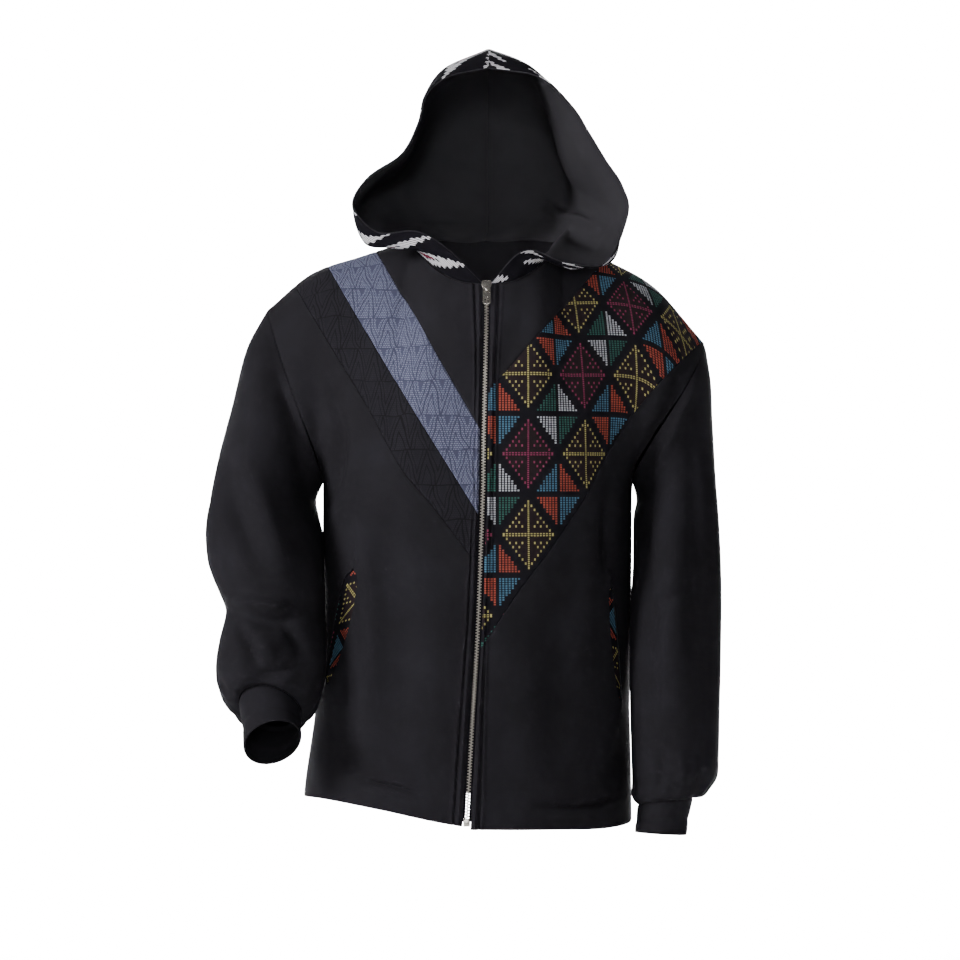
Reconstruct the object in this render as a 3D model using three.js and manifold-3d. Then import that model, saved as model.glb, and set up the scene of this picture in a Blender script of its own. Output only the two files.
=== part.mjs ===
// A hooded zip jacket of thick smooth knit, worn open-necked with its hood up, as a hollow garment.
// Millimetres, +Z up, the front faces -Y, and the wearer's left is +X.
// The origin is where the wearer's neck meets the shoulders, midway between the neck ends of the shoulder seams.
// Every cloth piece is a thin wall on one of three forms: the body, a sleeve or the hood.
// A form is worked out from a few sections, and neighbours share their seam points, so they meet with one gap.
import * as THREE from "three";
import { mergeVertices } from "three/addons/utils/BufferGeometryUtils.js";
import Module from "manifold-3d";

// ---------------------------------------------------------------- driving sizes
const CLOTH = 1.6; // main knit
const BROCADE = 1.2; // hood outside
const HOOD_LINING = 1.2;
const LAYER_GAP = 0.75; // between cloth that lies on cloth
const SEAM_GAP = 0.44; // between two pieces at their seam
const UNDERARM_Z = -295;
const UNDERARM_V = 0.58; // share of a body column that lies below the underarm
const HPS_U = 0.34; // column that ends at the neck end of the shoulder seam
const SECTION_POWER = 0.88; // below 1 makes the body's sections squarer than an ellipse

// Level body sections, from the hem up. right and left are half widths measured from the zip line.
const BODY = [
  { z: -712, zip: -19, right: 201, left: 201, front: 150, back: 134 },
  { z: -660, zip: -16, right: 199, left: 197, front: 149, back: 131 },
  { z: -580, zip: -11.5, right: 192, left: 192, front: 147, back: 126 },
  { z: -480, zip: -5.5, right: 189, left: 187, front: 146, back: 122 },
  { z: -380, zip: -1.5, right: 192, left: 183, front: 148, back: 126 },
  { z: -295, zip: 1.5, right: 194, left: 181, front: 150, back: 130 },
];
// Height of the hem from the zip (u 0) to the side seam (u 1), and at the centre back.
const HEM = {
  right: [
    { u: 0, z: -697 },
    { u: 0.3, z: -680 },
    { u: 0.62, z: -673 },
    { u: 1, z: -679 },
  ],
  left: [
    { u: 0, z: -701 },
    { u: 0.3, z: -703 },
    { u: 0.6, z: -707 },
    { u: 1, z: -708 },
  ],
};
const HEM_BACK_Z = -694;
// Neckline points, from the zip or the centre back (u 0) to the shoulder seam.
const NECK = {
  front: [
    { u: 0.0, x: 0, y: -114, z: -65 },
    { u: 0.12, x: 34, y: -108, z: -59 },
    { u: 0.24, x: 68, y: -78, z: -36 },
    { u: 0.34, x: 90, y: 6, z: -2 },
  ],
  back: [
    { u: 0.0, x: 0, y: 78, z: 6 },
    { u: 0.18, x: 50, y: 66, z: 5 },
    { u: 0.34, x: 90, y: 6, z: -2 },
  ],
};
// Shoulder seam points, shared by the front and the back.
const SHOULDER = [
  { u: 0.34, x: 90, y: 6, z: -2 },
  { u: 0.56, x: 148, y: 16, z: -20 },
  { u: 0.8, x: 212, y: 16, z: -47 },
  { u: 1.0, x: 265, y: 10, z: -96 },
];
// Directions in which a body column leaves the underarm level and arrives at the neckline or shoulder seam.
const BEND = {
  front: [
    { u: 0.0, leave: [0, -4, 235], arrive: [0, 75, 190] },
    { u: 0.12, leave: [0, -6, 245], arrive: [0, 85, 190] },
    { u: 0.24, leave: [0, -8, 300], arrive: [0, 140, 160] },
    { u: 0.34, leave: [0, -12, 390], arrive: [0, 215, 60] },
    { u: 0.56, leave: [0, -34, 400], arrive: [0, 225, 40] },
    { u: 0.8, leave: [4, -170, 320], arrive: [0, 235, 60] },
    { u: 1.0, leave: [20, -340, 130], arrive: [40, 300, 150] },
  ],
  back: [
    { u: 0.0, leave: [0, 22, 330], arrive: [0, -110, 250] },
    { u: 0.18, leave: [0, 22, 330], arrive: [0, -120, 230] },
    { u: 0.34, leave: [0, 26, 360], arrive: [0, -190, 80] },
    { u: 0.56, leave: [0, 46, 370], arrive: [0, -200, 60] },
    { u: 0.8, leave: [4, 160, 310], arrive: [0, -215, 70] },
    { u: 1.0, leave: [20, 300, 130], arrive: [40, -280, 150] },
  ],
};
// The wearer's right shoulder is carried higher than the left, and the columns are moved by these at the sleeve.
const TIP = {
  right: { x: -3, z: 10 },
  left: { x: 7, z: -32 },
};

// Slanting seams across the fronts, as seen from straight in front, from the zip up to the shoulder.
const SEAM = {
  blueTop: [
    { x: -8.8, z: -225 },
    { x: -127, z: -20 },
  ],
  blueFoot: [
    { x: -11.7, z: -323.5 },
    { x: -116.5, z: -155 },
    { x: -184, z: -41 },
  ],
  blackFoot: [
    { x: -11.7, z: -385 },
    { x: -56, z: -327 },
    { x: -92, z: -284 },
    { x: -135, z: -209 },
    { x: -232, z: -51 },
  ],
  printTop: [
    { x: 7, z: -188 },
    { x: 24.4, z: -172 },
    { x: 62, z: -129 },
    { x: 94, z: -94 },
    { x: 143, z: -36 },
  ],
  printFoot: [
    { x: 7, z: -478 },
    { x: 44, z: -423 },
    { x: 81, z: -374 },
    { x: 118, z: -318 },
    { x: 151, z: -260 },
    { x: 188, z: -206 },
    { x: 229, z: -161 },
    { x: 271, z: -124 },
  ],
};

// Sleeve sections, from the armhole down: outer and inner silhouette points, middle depth y, half depth, and
// how far the forearm leans forward, in degrees.
const SLEEVE = {
  right: [
    { ox: -284, oz: -131, ix: -203, iz: -318, y: 2, half: 84, lean: 0 },
    { ox: -303, oz: -204, ix: -199, iz: -340, y: -10, half: 82, lean: 0 },
    { ox: -319, oz: -272, ix: -191, iz: -367, y: -34, half: 78, lean: 0 },
    { ox: -326, oz: -337, ix: -189, iz: -398, y: -56, half: 75, lean: 2 },
    { ox: -322, oz: -393, ix: -187, iz: -430, y: -64, half: 72, lean: 8 },
    { ox: -311, oz: -433, ix: -186, iz: -459, y: -66, half: 69, lean: 16 },
    { ox: -305, oz: -456, ix: -184, iz: -482, y: -74, half: 67, lean: 26 },
    { ox: -312, oz: -491, ix: -184, iz: -506, y: -84, half: 66, lean: 34 },
    { ox: -315, oz: -520, ix: -186, iz: -531, y: -96, half: 64, lean: 40 },
    { ox: -310, oz: -543, ix: -193, iz: -553, y: -106, half: 58, lean: 44 },
    { ox: -292, oz: -557, ix: -207, iz: -566, y: -114, half: 46, lean: 46 },
  ],
  left: [
    { ox: 278, oz: -172, ix: 190, iz: -318, y: 4, half: 82, lean: 0 },
    { ox: 280, oz: -220, ix: 186, iz: -340, y: -5, half: 80, lean: 0 },
    { ox: 282, oz: -278, ix: 184, iz: -367, y: -22, half: 78, lean: 0 },
    { ox: 284, oz: -344, ix: 182, iz: -403, y: -40, half: 75, lean: 2 },
    { ox: 285, oz: -417, ix: 178, iz: -452, y: -52, half: 71, lean: 3 },
    { ox: 284, oz: -495, ix: 177, iz: -510, y: -60, half: 66, lean: 4 },
    { ox: 284, oz: -569, ix: 177, iz: -574, y: -62, half: 64, lean: 6 },
    { ox: 283, oz: -625, ix: 178, iz: -627, y: -62, half: 62, lean: 8 },
    { ox: 280, oz: -652, ix: 179, iz: -655, y: -62, half: 57, lean: 8 },
    { ox: 262, oz: -670, ix: 183, iz: -677, y: -62, half: 45, lean: 8 },
  ],
};
const CUFF = {
  right: [
    { ox: -286, oz: -558, ix: -212, iz: -568, y: -117, half: 39, lean: 47 },
    { ox: -280, oz: -583, ix: -211, iz: -580, y: -135, half: 36, lean: 49 },
    { ox: -277, oz: -606, ix: -209, iz: -592, y: -153, half: 36, lean: 50 },
  ],
  left: [
    { ox: 252, oz: -675, ix: 186, iz: -683, y: -62, half: 38, lean: 8 },
    { ox: 247, oz: -697, ix: 184, iz: -699, y: -64, half: 36, lean: 9 },
    { ox: 244, oz: -719, ix: 182, iz: -715, y: -66, half: 36, lean: 10 },
  ],
};

// Hood sections from the face edge (t 0) round to the centre back seam (t 1).
// Each holds points from just above the neck seam up to the centre seam on top.
const HOOD_STATIONS = ["neck", "jaw", "chin", "cheek", "lobe", "ear", "temple", "brow", "crown", "rim", "seam"];
const HOOD = {
  left: [
    { t: 0, jaw: [50, -116, -28], chin: [97, -108, -41], cheek: [147, -92, -40], lobe: [175, -80, 20],
      ear: [168, -81, 56], temple: [148, -83, 86], brow: [128, -85, 118], crown: [107, -85, 151],
      rim: [68, -82, 185], seam: [8, -77, 197] },
    { t: 0.25, jaw: [74, -92, -33], chin: [110, -85, -42], cheek: [156, -72, -26], lobe: [157, -62, 24],
      ear: [139, -60, 60], temple: [119, -60, 94], brow: [103, -60, 128], crown: [87, -58, 162],
      rim: [58, -51, 202], seam: [8, -45, 222] },
    { t: 0.5, jaw: [104, -4, 10], chin: [114, -6, 18], cheek: [122, -6, 32], lobe: [119, -4, 58],
      ear: [106, -2, 82], temple: [96, 0, 108], brow: [88, 2, 138], crown: [76, 6, 172],
      rim: [50, 14, 208], seam: [8, 20, 229] },
    { t: 0.75, jaw: [74, 60, 18], chin: [86, 62, 28], cheek: [98, 65, 44], lobe: [102, 70, 66],
      ear: [102, 74, 88], temple: [94, 78, 110], brow: [84, 82, 132], crown: [66, 88, 153],
      rim: [38, 94, 174], seam: [8, 98, 186] },
    { t: 1, jaw: [8, 90, 18], chin: [8, 98, 28], cheek: [8, 106, 40], lobe: [8, 113, 54],
      ear: [8, 119, 68], temple: [8, 124, 84], brow: [8, 128, 98], crown: [8, 130, 112],
      rim: [8, 130, 127], seam: [8, 127, 142] },
  ],
  right: [
    { t: 0, jaw: [-38, -117, -28], chin: [-76, -109, -4], cheek: [-124, -92, -3], lobe: [-155, -80, 30],
      ear: [-138, -84, 63], temple: [-98, -88, 91], brow: [-77, -90, 127], crown: [-68, -88, 161],
      rim: [-41, -83, 185], seam: [8, -77, 197] },
    { t: 0.25, jaw: [-72, -90, -26], chin: [-106, -82, -20], cheek: [-140, -68, -12], lobe: [-151, -56, 30],
      ear: [-124, -58, 68], temple: [-92, -60, 94], brow: [-76, -60, 130], crown: [-68, -56, 166],
      rim: [-44, -50, 200], seam: [8, -45, 222] },
    { t: 0.5, jaw: [-102, -2, 10], chin: [-116, -4, 18], cheek: [-130, -2, 32], lobe: [-132, 2, 56],
      ear: [-110, 2, 80], temple: [-90, 2, 104], brow: [-76, 4, 138], crown: [-62, 8, 172],
      rim: [-36, 15, 206], seam: [8, 20, 229] },
    { t: 0.75, jaw: [-58, 60, 18], chin: [-70, 62, 28], cheek: [-82, 65, 44], lobe: [-86, 70, 66],
      ear: [-86, 74, 88], temple: [-78, 78, 110], brow: [-68, 82, 132], crown: [-50, 88, 153],
      rim: [-22, 94, 174], seam: [8, 98, 186] },
    { t: 1, jaw: [8, 90, 18], chin: [8, 98, 28], cheek: [8, 106, 40], lobe: [8, 113, 54],
      ear: [8, 119, 68], temple: [8, 124, 84], brow: [8, 128, 98], crown: [8, 130, 112],
      rim: [8, 130, 127], seam: [8, 127, 142] },
  ],
};

// Slanted pocket mouths: the top and foot of the slit, as a share across the front and a height, and its gape.
const POCKET = {
  right: { topU: 0.535, topZ: -401, footU: 0.735, footZ: -538, gape: 42, bow: 3 },
  left: { topU: 0.615, topZ: -421, footU: 0.715, footZ: -558, gape: 20, bow: -4 },
};
const POCKET_FACING_LAP = 9; // the facing runs this far past the slit all round

// Metal zip. Depths are behind the outer face of the cloth.
const ZIP = {
  topX: 5.5,
  chainHalf: 2.9, // half width of the closed teeth
  edge: 4.6, // folded front edge from the zip line
  tapeInner: 3.5,
  tapeOuter: 17,
  tapeThick: 0.8,
  chainFrom: 0.2,
  chainThick: 2.6,
  chainTop: -70,
  chainFoot: -687.5,
  boxLong: 9,
  boxWide: 7.8,
  boxThick: 4.2,
};
// The slider's own frame: x across, y up the zip, z out from the cloth; its origin is the pull tab's axis.
const SLIDER = {
  pivotZ: -72.5, // height of the origin on the zip line
  top: 12,
  foot: -2.5,
  shoulderWide: 12,
  footWide: 8.8,
  plateFrom: 0.8, // front plate, out from the cloth
  plateThick: 1.0,
  backFrom: -4.8, // back plate, behind the cloth
  postWide: 3,
  postLong: 4,
  bridgeWide: 3.2,
  bridgeBar: 1.2,
  bridgeTop: 9.5,
  bridgeHollow: 2.5, // clear height under the bridge
};
const TAB = {
  thick: 1.4,
  gap: 0.45, // off the slider's plate
  bar: 0.75, // from the axis to the eye's edge
  eyeLong: 3.5,
  eyeWide: 4.4,
  wide: 9.2,
  long: 19.3, // from the axis to the foot
  windowWide: 4.6,
  windowLong: 6.4,
  windowFoot: 2.4, // from the tab's foot to the window
  corner: 2.6,
};

const COLOURS = {
  knit: 0x1e1e22,
  blue: 0x5c6384,
  print: 0x1b1a1c,
  brocade: 0x232226,
  tape: 0x161618,
  nickel: 0xb9b6b0,
};

// ---------------------------------------------------------------- small maths
const V = (x, y, z) => new THREE.Vector3(x, y, z);
const lerp = (a, b, t) => a + (b - a) * t;
const even = (n) => Array.from({ length: n + 1 }, (_, i) => i / n);
const clamp01 = (t) => Math.min(1, Math.max(0, t));

/** A smooth value at `at` through rows sorted by `key`, of the number that `read` takes from a row. */
function through(rows, key, at, read) {
  let i = rows.findIndex((row, k) => k > 0 && at <= row[key]);
  if (i < 0) i = rows.length - 1;
  const slope = (k) => {
    const before = rows[Math.max(0, k - 1)];
    const after = rows[Math.min(rows.length - 1, k + 1)];
    return (read(after) - read(before)) / (after[key] - before[key]);
  };
  const span = rows[i][key] - rows[i - 1][key];
  const s = (at - rows[i - 1][key]) / span;
  return hermite(read(rows[i - 1]), slope(i - 1) * span, read(rows[i]), slope(i) * span, s);
}

/** The cubic from p0 to p1 that leaves with slope m0 and arrives with slope m1. */
function hermite(p0, m0, p1, m1, s) {
  const s2 = s * s;
  const s3 = s2 * s;
  return (2 * s3 - 3 * s2 + 1) * p0 + (s3 - 2 * s2 + s) * m0 + (3 * s2 - 2 * s3) * p1 + (s3 - s2) * m1;
}

// ---------------------------------------------------------------- body form
const sign = (side) => (side === "right" ? -1 : 1);

/** Point of a level body section: u is 0 at the zip or centre back and 1 at the side seam. */
function sectionPoint(side, face, u, z) {
  const read = (name) => through(BODY, "z", z, (row) => row[name]);
  const across = Math.sin((Math.PI / 2) * u) ** SECTION_POWER;
  const along = Math.max(0, Math.cos((Math.PI / 2) * u)) ** SECTION_POWER;
  const edge = face === "front" ? ZIP.edge * (1 - u) : 0;
  return V(
    read("zip") + sign(side) * (edge + (read(side) - edge) * across),
    face === "front" ? -read("front") * along : read("back") * along,
    z,
  );
}

function hemZ(side, face, u) {
  if (face === "front") return through(HEM[side], "u", u, (row) => row.z);
  return lerp(HEM_BACK_Z, HEM[side].at(-1).z, u * u * (3 - 2 * u));
}

/** Point of the neckline and shoulder seam, with the column's two directions there. */
function topEdge(side, face, u) {
  const rows = u <= HPS_U ? NECK[face] : SHOULDER;
  const read = (name) => through(rows, "u", u, (row) => row[name]);
  const outer = clamp01((u - HPS_U) / (1 - HPS_U)) ** 2;
  const edge = face === "front" ? ZIP.edge * Math.max(0, 1 - u / HPS_U) : 0;
  const vector = (name) => {
    const [x, y, z] = [0, 1, 2].map((k) => through(BEND[face], "u", u, (row) => row[name][k]));
    return V(sign(side) * x, y, z);
  };
  return {
    point: V(
      ZIP.topX * (1 - u) + sign(side) * (edge + read("x")) + TIP[side].x * outer * sign(side),
      read("y"),
      read("z") + TIP[side].z * outer,
    ),
    leave: vector("leave"),
    arrive: vector("arrive"),
  };
}

/** Body surface: u across from the centre to the side, v up from the hem (0) to the neck or shoulder (1). */
function bodyPoint(side, face, u, v) {
  if (v <= UNDERARM_V) {
    return sectionPoint(side, face, u, lerp(hemZ(side, face, u), UNDERARM_Z, v / UNDERARM_V));
  }
  const s = (v - UNDERARM_V) / (1 - UNDERARM_V);
  const from = sectionPoint(side, face, u, UNDERARM_Z);
  const { point, leave, arrive } = topEdge(side, face, u);
  const axis = (k) => hermite(from[k], leave[k], point[k], arrive[k], s);
  return V(axis("x"), axis("y"), axis("z"));
}

/** Height of a slanting seam at x, running on straight past the ends of its table. */
function seamHeight(points, x) {
  const rows = [...points].sort((a, b) => a.x - b.x);
  if (x > rows[0].x && x < rows.at(-1).x) return through(rows, "x", x, (row) => row.z);
  const [end, next] = x <= rows[0].x ? rows : [rows.at(-1), rows.at(-2)];
  return end.z + ((x - end.x) * (next.z - end.z)) / (next.x - end.x);
}

/** How far a point of the front lies above a slanting seam. */
const above = (points, p) => p.z - seamHeight(points, p.x);

function bisect(low, high, isLow) {
  for (let i = 0; i < 30; i++) {
    const middle = (low + high) / 2;
    if (isLow(middle)) low = middle;
    else high = middle;
  }
  return (low + high) / 2;
}

/** v at which a slanting seam crosses column u, or 1 past the shoulder. */
function seamV(side, points, u) {
  if (above(points, bodyPoint(side, "front", u, 1)) <= 1e-6) return 1;
  return bisect(0, 1, (v) => above(points, bodyPoint(side, "front", u, v)) < 0);
}

/** Column in which a slanting seam meets the shoulder seam. */
const seamEnd = (side, points) =>
  bisect(HPS_U, 1, (u) => above(points, bodyPoint(side, "front", u, 1)) > 0);

/** Cloth distance from the zip to the side seam, round the underarm section. */
function frontWidth(side) {
  const points = even(24).map((u) => bodyPoint(side, "front", u, UNDERARM_V));
  return points.slice(1).reduce((sum, p, i) => sum + p.distanceTo(points[i]), 0);
}

// ---------------------------------------------------------------- sleeve form
const ARMHOLE_STEPS = 7;
const armholeV = Array.from({ length: ARMHOLE_STEPS + 1 }, (_, i) => lerp(UNDERARM_V, 1, i / ARMHOLE_STEPS));

/** The armhole as a closed loop from the shoulder down the front and up the back, with the angle of each point. */
function armhole(side) {
  const down = [...armholeV].reverse();
  const front = down.map((v) => ({ point: bodyPoint(side, "front", 1, v), turn: (1 - v) / (1 - UNDERARM_V) / 2 }));
  const back = armholeV.slice(1, -1);
  return [
    ...front,
    ...back.map((v) => ({ point: bodyPoint(side, "back", 1, v), turn: 0.5 + (v - UNDERARM_V) / (1 - UNDERARM_V) / 2 })),
  ];
}

/** Point of a sleeve or cuff section at a turn: 0 outside, 0.25 front, 0.5 against the body, 0.75 back. */
function limbPoint(row, turn) {
  const outer = V(row.ox, 0, row.oz);
  const inner = V(row.ix, 0, row.iz);
  const lean = THREE.MathUtils.degToRad(row.lean);
  const depth = V(0, -Math.cos(lean), Math.sin(lean)).multiplyScalar(row.half);
  const centre = outer.clone().add(inner).multiplyScalar(0.5).setY(row.y);
  const arm = outer.sub(inner).multiplyScalar(0.5);
  const angle = turn * 2 * Math.PI;
  return centre.addScaledVector(arm, Math.cos(angle)).addScaledVector(depth, Math.sin(angle));
}

// ---------------------------------------------------------------- hood form
const NECK_U = [0, 0.07, 0.14, 0.21, 0.28, HPS_U];
const HOOD_T = Array.from({ length: 2 * NECK_U.length - 1 }, (_, i) => i / (2 * NECK_U.length - 2));

/** Neckline point: t is 0 at the zip, 0.5 at the shoulder seam and 1 at the centre back. */
function neckPoint(side, t) {
  const place = t <= 0.5 ? t * 2 : 2 - t * 2;
  const at = place * (NECK_U.length - 1);
  const i = Math.min(NECK_U.length - 2, Math.floor(at));
  const u = lerp(NECK_U[i], NECK_U[i + 1], at - i);
  return bodyPoint(side, t <= 0.5 ? "front" : "back", u, 1);
}

/** Hood surface: t from the face edge to the back seam, s from the neck seam to the top seam. */
function hoodPoint(side, t, s) {
  const stations = HOOD_STATIONS.map((name, i) => {
    const axis = (k) => (i === 0 ? 0 : through(HOOD[side], "t", t, (row) => row[name][k]));
    return { s: i / (HOOD_STATIONS.length - 1), point: i === 0 ? neckPoint(side, t) : V(axis(0), axis(1), axis(2)) };
  });
  const read = (k) => through(stations, "s", s, (row) => row.point[k]);
  return V(read("x"), read("y"), read("z"));
}

// ---------------------------------------------------------------- pieces of cloth
const pieces = new Map(); // name: { grid of points, closed round or not, thickness, depth below the form }

function addPiece(name, grid, { thick = CLOTH, under = 0, round = false, colour = COLOURS.knit } = {}) {
  pieces.set(name, { name, grid, thick, under, round, colour });
}

const BODY_ROWS = [0, 0.06, 0.16, 0.26, 0.36, 0.47, ...armholeV];
const ROW_SNAP = 0.02; // a row this near a slanting seam gives way to it

/** A piece between two seams of a front, on the given columns: the body's rows as far as they lie between them. */
function frontPiece(name, side, columns, footV, topV, colour) {
  const grid = columns.map((u) => {
    const [foot, top] = [footV(u), topV(u)];
    const within = (v) => (v < foot + ROW_SNAP ? foot : v > top - ROW_SNAP ? top : v);
    const rows = [foot, ...BODY_ROWS.slice(1, -1).map(within), top];
    return rows.map((v) => bodyPoint(side, "front", u, v));
  });
  addPiece(name, grid, { colour });
}

const END = {
  blueTop: seamEnd("right", SEAM.blueTop),
  blueFoot: seamEnd("right", SEAM.blueFoot),
  blackFoot: seamEnd("right", SEAM.blackFoot),
  printTop: seamEnd("left", SEAM.printTop),
};
const COLUMNS = {
  right: [...NECK_U, 0.41, END.blueTop, 0.57, END.blueFoot, 0.76, END.blackFoot, 0.93, 1],
  left: [...NECK_U, 0.43, END.printTop, 0.63, 0.73, 0.82, 0.91, 1],
};

function makeFronts() {
  const seam = (side, name) => (u) => seamV(side, SEAM[name], u);
  const foot = () => 0;
  const top = () => 1;
  const upTo = (side, name) => COLUMNS[side].filter((u) => u <= END[name]);
  const [blueTop, blueFoot, blackFoot] = ["blueTop", "blueFoot", "blackFoot"].map((name) => seam("right", name));
  const [printTop, printFoot] = ["printTop", "printFoot"].map((name) => seam("left", name));
  frontPiece("front_right_yoke", "right", upTo("right", "blueTop"), blueTop, top);
  frontPiece("front_right_blue_band", "right", upTo("right", "blueFoot"), blueFoot, blueTop, COLOURS.blue);
  frontPiece("front_right_black_band", "right", upTo("right", "blackFoot"), blackFoot, blueFoot);
  frontPiece("front_right_panel", "right", COLUMNS.right, foot, blackFoot);
  frontPiece("front_left_yoke", "left", upTo("left", "printTop"), printTop, top);
  frontPiece("front_left_print", "left", COLUMNS.left, printFoot, printTop, COLOURS.print);
  frontPiece("front_left_panel", "left", COLUMNS.left, foot, printFoot);
}

function makeBack() {
  const column = (side) => (u) => BODY_ROWS.map((v) => bodyPoint(side, "back", u, v));
  const left = [...COLUMNS.left].reverse().map(column("left"));
  addPiece("back", [...left, ...COLUMNS.right.slice(1).map(column("right"))]);
}

function makeSleeve(side) {
  const loop = armhole(side);
  const ring = (row) => loop.map((p) => limbPoint(row, p.turn));
  const cuff = CUFF[side].map(ring);
  addPiece(`sleeve_${side}`, [loop.map((p) => p.point), ...SLEEVE[side].map(ring), cuff[0]], { round: true });
  addPiece(`cuff_${side}`, cuff, { round: true });
}

function makeHood(side) {
  const rows = even(HOOD_STATIONS.length - 1);
  const grid = HOOD_T.map((t) => rows.map((s) => hoodPoint(side, t, s)));
  addPiece(`hood_outer_${side}`, grid, { thick: BROCADE, colour: COLOURS.brocade });
  addPiece(`hood_lining_${side}`, grid, { thick: HOOD_LINING, under: BROCADE + LAYER_GAP });
}

// ---------------------------------------------------------------- from grids to walls
const keyOf = (p) => p.toArray().map((at) => Math.round(at * 50)).join();

/** Grid cells as corner indices, with the wrap of a round piece. */
function* cells({ grid, round }) {
  const rows = grid[0].length;
  for (let i = 0; i + 1 < grid.length; i++)
    for (let j = 0; j < (round ? rows : rows - 1); j++)
      yield [
        [i, j],
        [i + 1, j],
        [i + 1, (j + 1) % rows],
        [i, (j + 1) % rows],
      ];
}

/** 1 where the grid's own winding faces away from the middle of what it wraps, otherwise -1. */
function outwardTurn(piece) {
  let score = 0;
  const all = piece.grid.flat();
  const centre = all.reduce((sum, p) => sum.add(p), V(0, 0, 0)).divideScalar(all.length);
  const heart = piece.round ? centre : V(centre.x * 0.2, 0, Math.min(centre.z, 60));
  for (const corners of cells(piece)) {
    const [a, b, c, d] = corners.map(([i, j]) => piece.grid[i][j]);
    const normal = c.clone().sub(a).cross(d.clone().sub(b));
    score += normal.dot(a.clone().add(c).multiplyScalar(0.5).sub(heart));
  }
  return score > 0 ? 1 : -1;
}

/** The entry of a map, made on its first use. */
function entry(map, key, make) {
  if (!map.has(key)) map.set(key, make());
  return map.get(key);
}

/** Every grid point with the pieces that meet there, and each one's normal and direction into itself. */
function gatherSeams(list) {
  const seams = new Map();
  for (const piece of list) {
    const turn = outwardTurn(piece);
    for (const corners of cells(piece)) {
      const points = corners.map(([i, j]) => piece.grid[i][j]);
      const normal = points[2].clone().sub(points[0]).cross(points[3].clone().sub(points[1]));
      const middle = points.reduce((sum, p) => sum.add(p), V(0, 0, 0)).multiplyScalar(0.25);
      for (const p of points) {
        const here = entry(seams, keyOf(p), () => new Map());
        const own = entry(here, piece.name, () => ({ normal: V(0, 0, 0), inward: V(0, 0, 0) }));
        own.normal.addScaledVector(normal, turn);
        own.inward.add(middle.clone().sub(p).normalize());
      }
    }
  }
  return seams;
}

/** The outward normal shared by all at a point, and the named piece's small step away from its neighbours. */
function atSeam(here, name) {
  const inward = (own) => own.inward.clone().normalize();
  const normal = V(0, 0, 0);
  // A sleeve weighs as much as all the body pieces that it meets at one point.
  for (const [key, own] of here)
    normal.addScaledVector(own.normal.clone().normalize(), key.startsWith("sleeve") ? Math.max(1, here.size - 1) : 1);
  // Under the arm the cloth doubles back, and its outside is the side towards which both layers run.
  if (here.size > 1 && normal.length() < 0.5) [...here.values()].forEach((own) => normal.add(inward(own)));
  normal.normalize();
  const others = [...here.entries()].filter(([key]) => key !== name);
  const step = V(0, 0, 0);
  if (others.length) {
    others.forEach(([, own]) => step.addScaledVector(inward(own), -1 / others.length));
    step.add(inward(here.get(name)));
    step.addScaledVector(normal, -step.dot(normal)).setLength((SEAM_GAP / 2) * (others.length > 1 ? 1.5 : 1));
  }
  return { normal, step };
}

function faceNormal(a, b, c) {
  return b.clone().sub(a).cross(c.clone().sub(a)).normalize();
}

/** Whether a four-cornered cell is flatter when it is cut from a to c than from b to d. */
function cutsAC(a, b, c, d) {
  const alongAC = faceNormal(a, b, c).dot(faceNormal(a, c, d));
  const alongBD = faceNormal(b, c, d).dot(faceNormal(b, d, a));
  return alongAC > alongBD - 1e-4;
}

/** Faces of a wall between an outer grid and an inner grid, given as one list of points. */
function wallFaces(points, columns, rows, round) {
  const count = columns * rows;
  const index = ([i, j]) => i * rows + j;
  const faces = [];
  const quad = (a, b, c, d) => faces.push([a, b, c], [a, c, d]);
  const shape = { grid: Array.from({ length: columns }, () => ({ length: rows })), round };
  for (const corners of cells(shape)) {
    const [a, b, c, d] = corners.map(index);
    const [p, q, r, s] = cutsAC(...[a, b, c, d].map((i) => points[i])) ? [a, b, c, d] : [b, c, d, a];
    quad(p, q, r, s);
    quad(p + count, s + count, r + count, q + count);
  }
  // Neighbours cut their facing rims along the same diagonals, so a twisted seam keeps its gap.
  const rank = (i) => points[i].x + 1.7 * points[i].y + 2.3 * points[i].z;
  const rim = (a, b) =>
    rank(a) < rank(b) ? quad(b, a, a + count, b + count) : quad(a, a + count, b + count, b);
  const last = columns - 1;
  for (let j = 0; j < (round ? rows : rows - 1); j++) {
    const next = (j + 1) % rows;
    rim(index([0, next]), index([0, j]));
    rim(index([last, j]), index([last, next]));
  }
  for (let i = 0; i < last && !round; i++) {
    rim(index([i, 0]), index([i + 1, 0]));
    rim(index([i + 1, rows - 1]), index([i, rows - 1]));
  }
  return faces;
}

function signedVolume(position, faces) {
  const at = (i) => V(position[3 * i], position[3 * i + 1], position[3 * i + 2]);
  return faces.reduce((sum, [a, b, c]) => sum + at(a).dot(at(b).cross(at(c))), 0);
}

/** An outward closed geometry: equal points merged, and triangles closed up by that left out. */
function closedGeometry(points, faces) {
  const loose = new THREE.BufferGeometry().setFromPoints(points);
  loose.setIndex(faces.flat());
  const geometry = mergeVertices(loose, 2e-3);
  const merged = geometry.index.array;
  const kept = [];
  for (let i = 0; i < merged.length; i += 3) {
    const [a, b, c] = [merged[i], merged[i + 1], merged[i + 2]];
    if (a !== b && b !== c && a !== c) kept.push([a, b, c]);
  }
  const outward = signedVolume(geometry.attributes.position.array, kept) > 0;
  geometry.setIndex((outward ? kept : kept.map(([a, b, c]) => [a, c, b])).flat());
  return geometry;
}

/** A wall between two grids of the same size. */
function slab(outerGrid, innerGrid) {
  const points = [...outerGrid.flat(), ...innerGrid.flat()];
  return closedGeometry(points, wallFaces(points, outerGrid.length, outerGrid[0].length, false));
}

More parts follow.
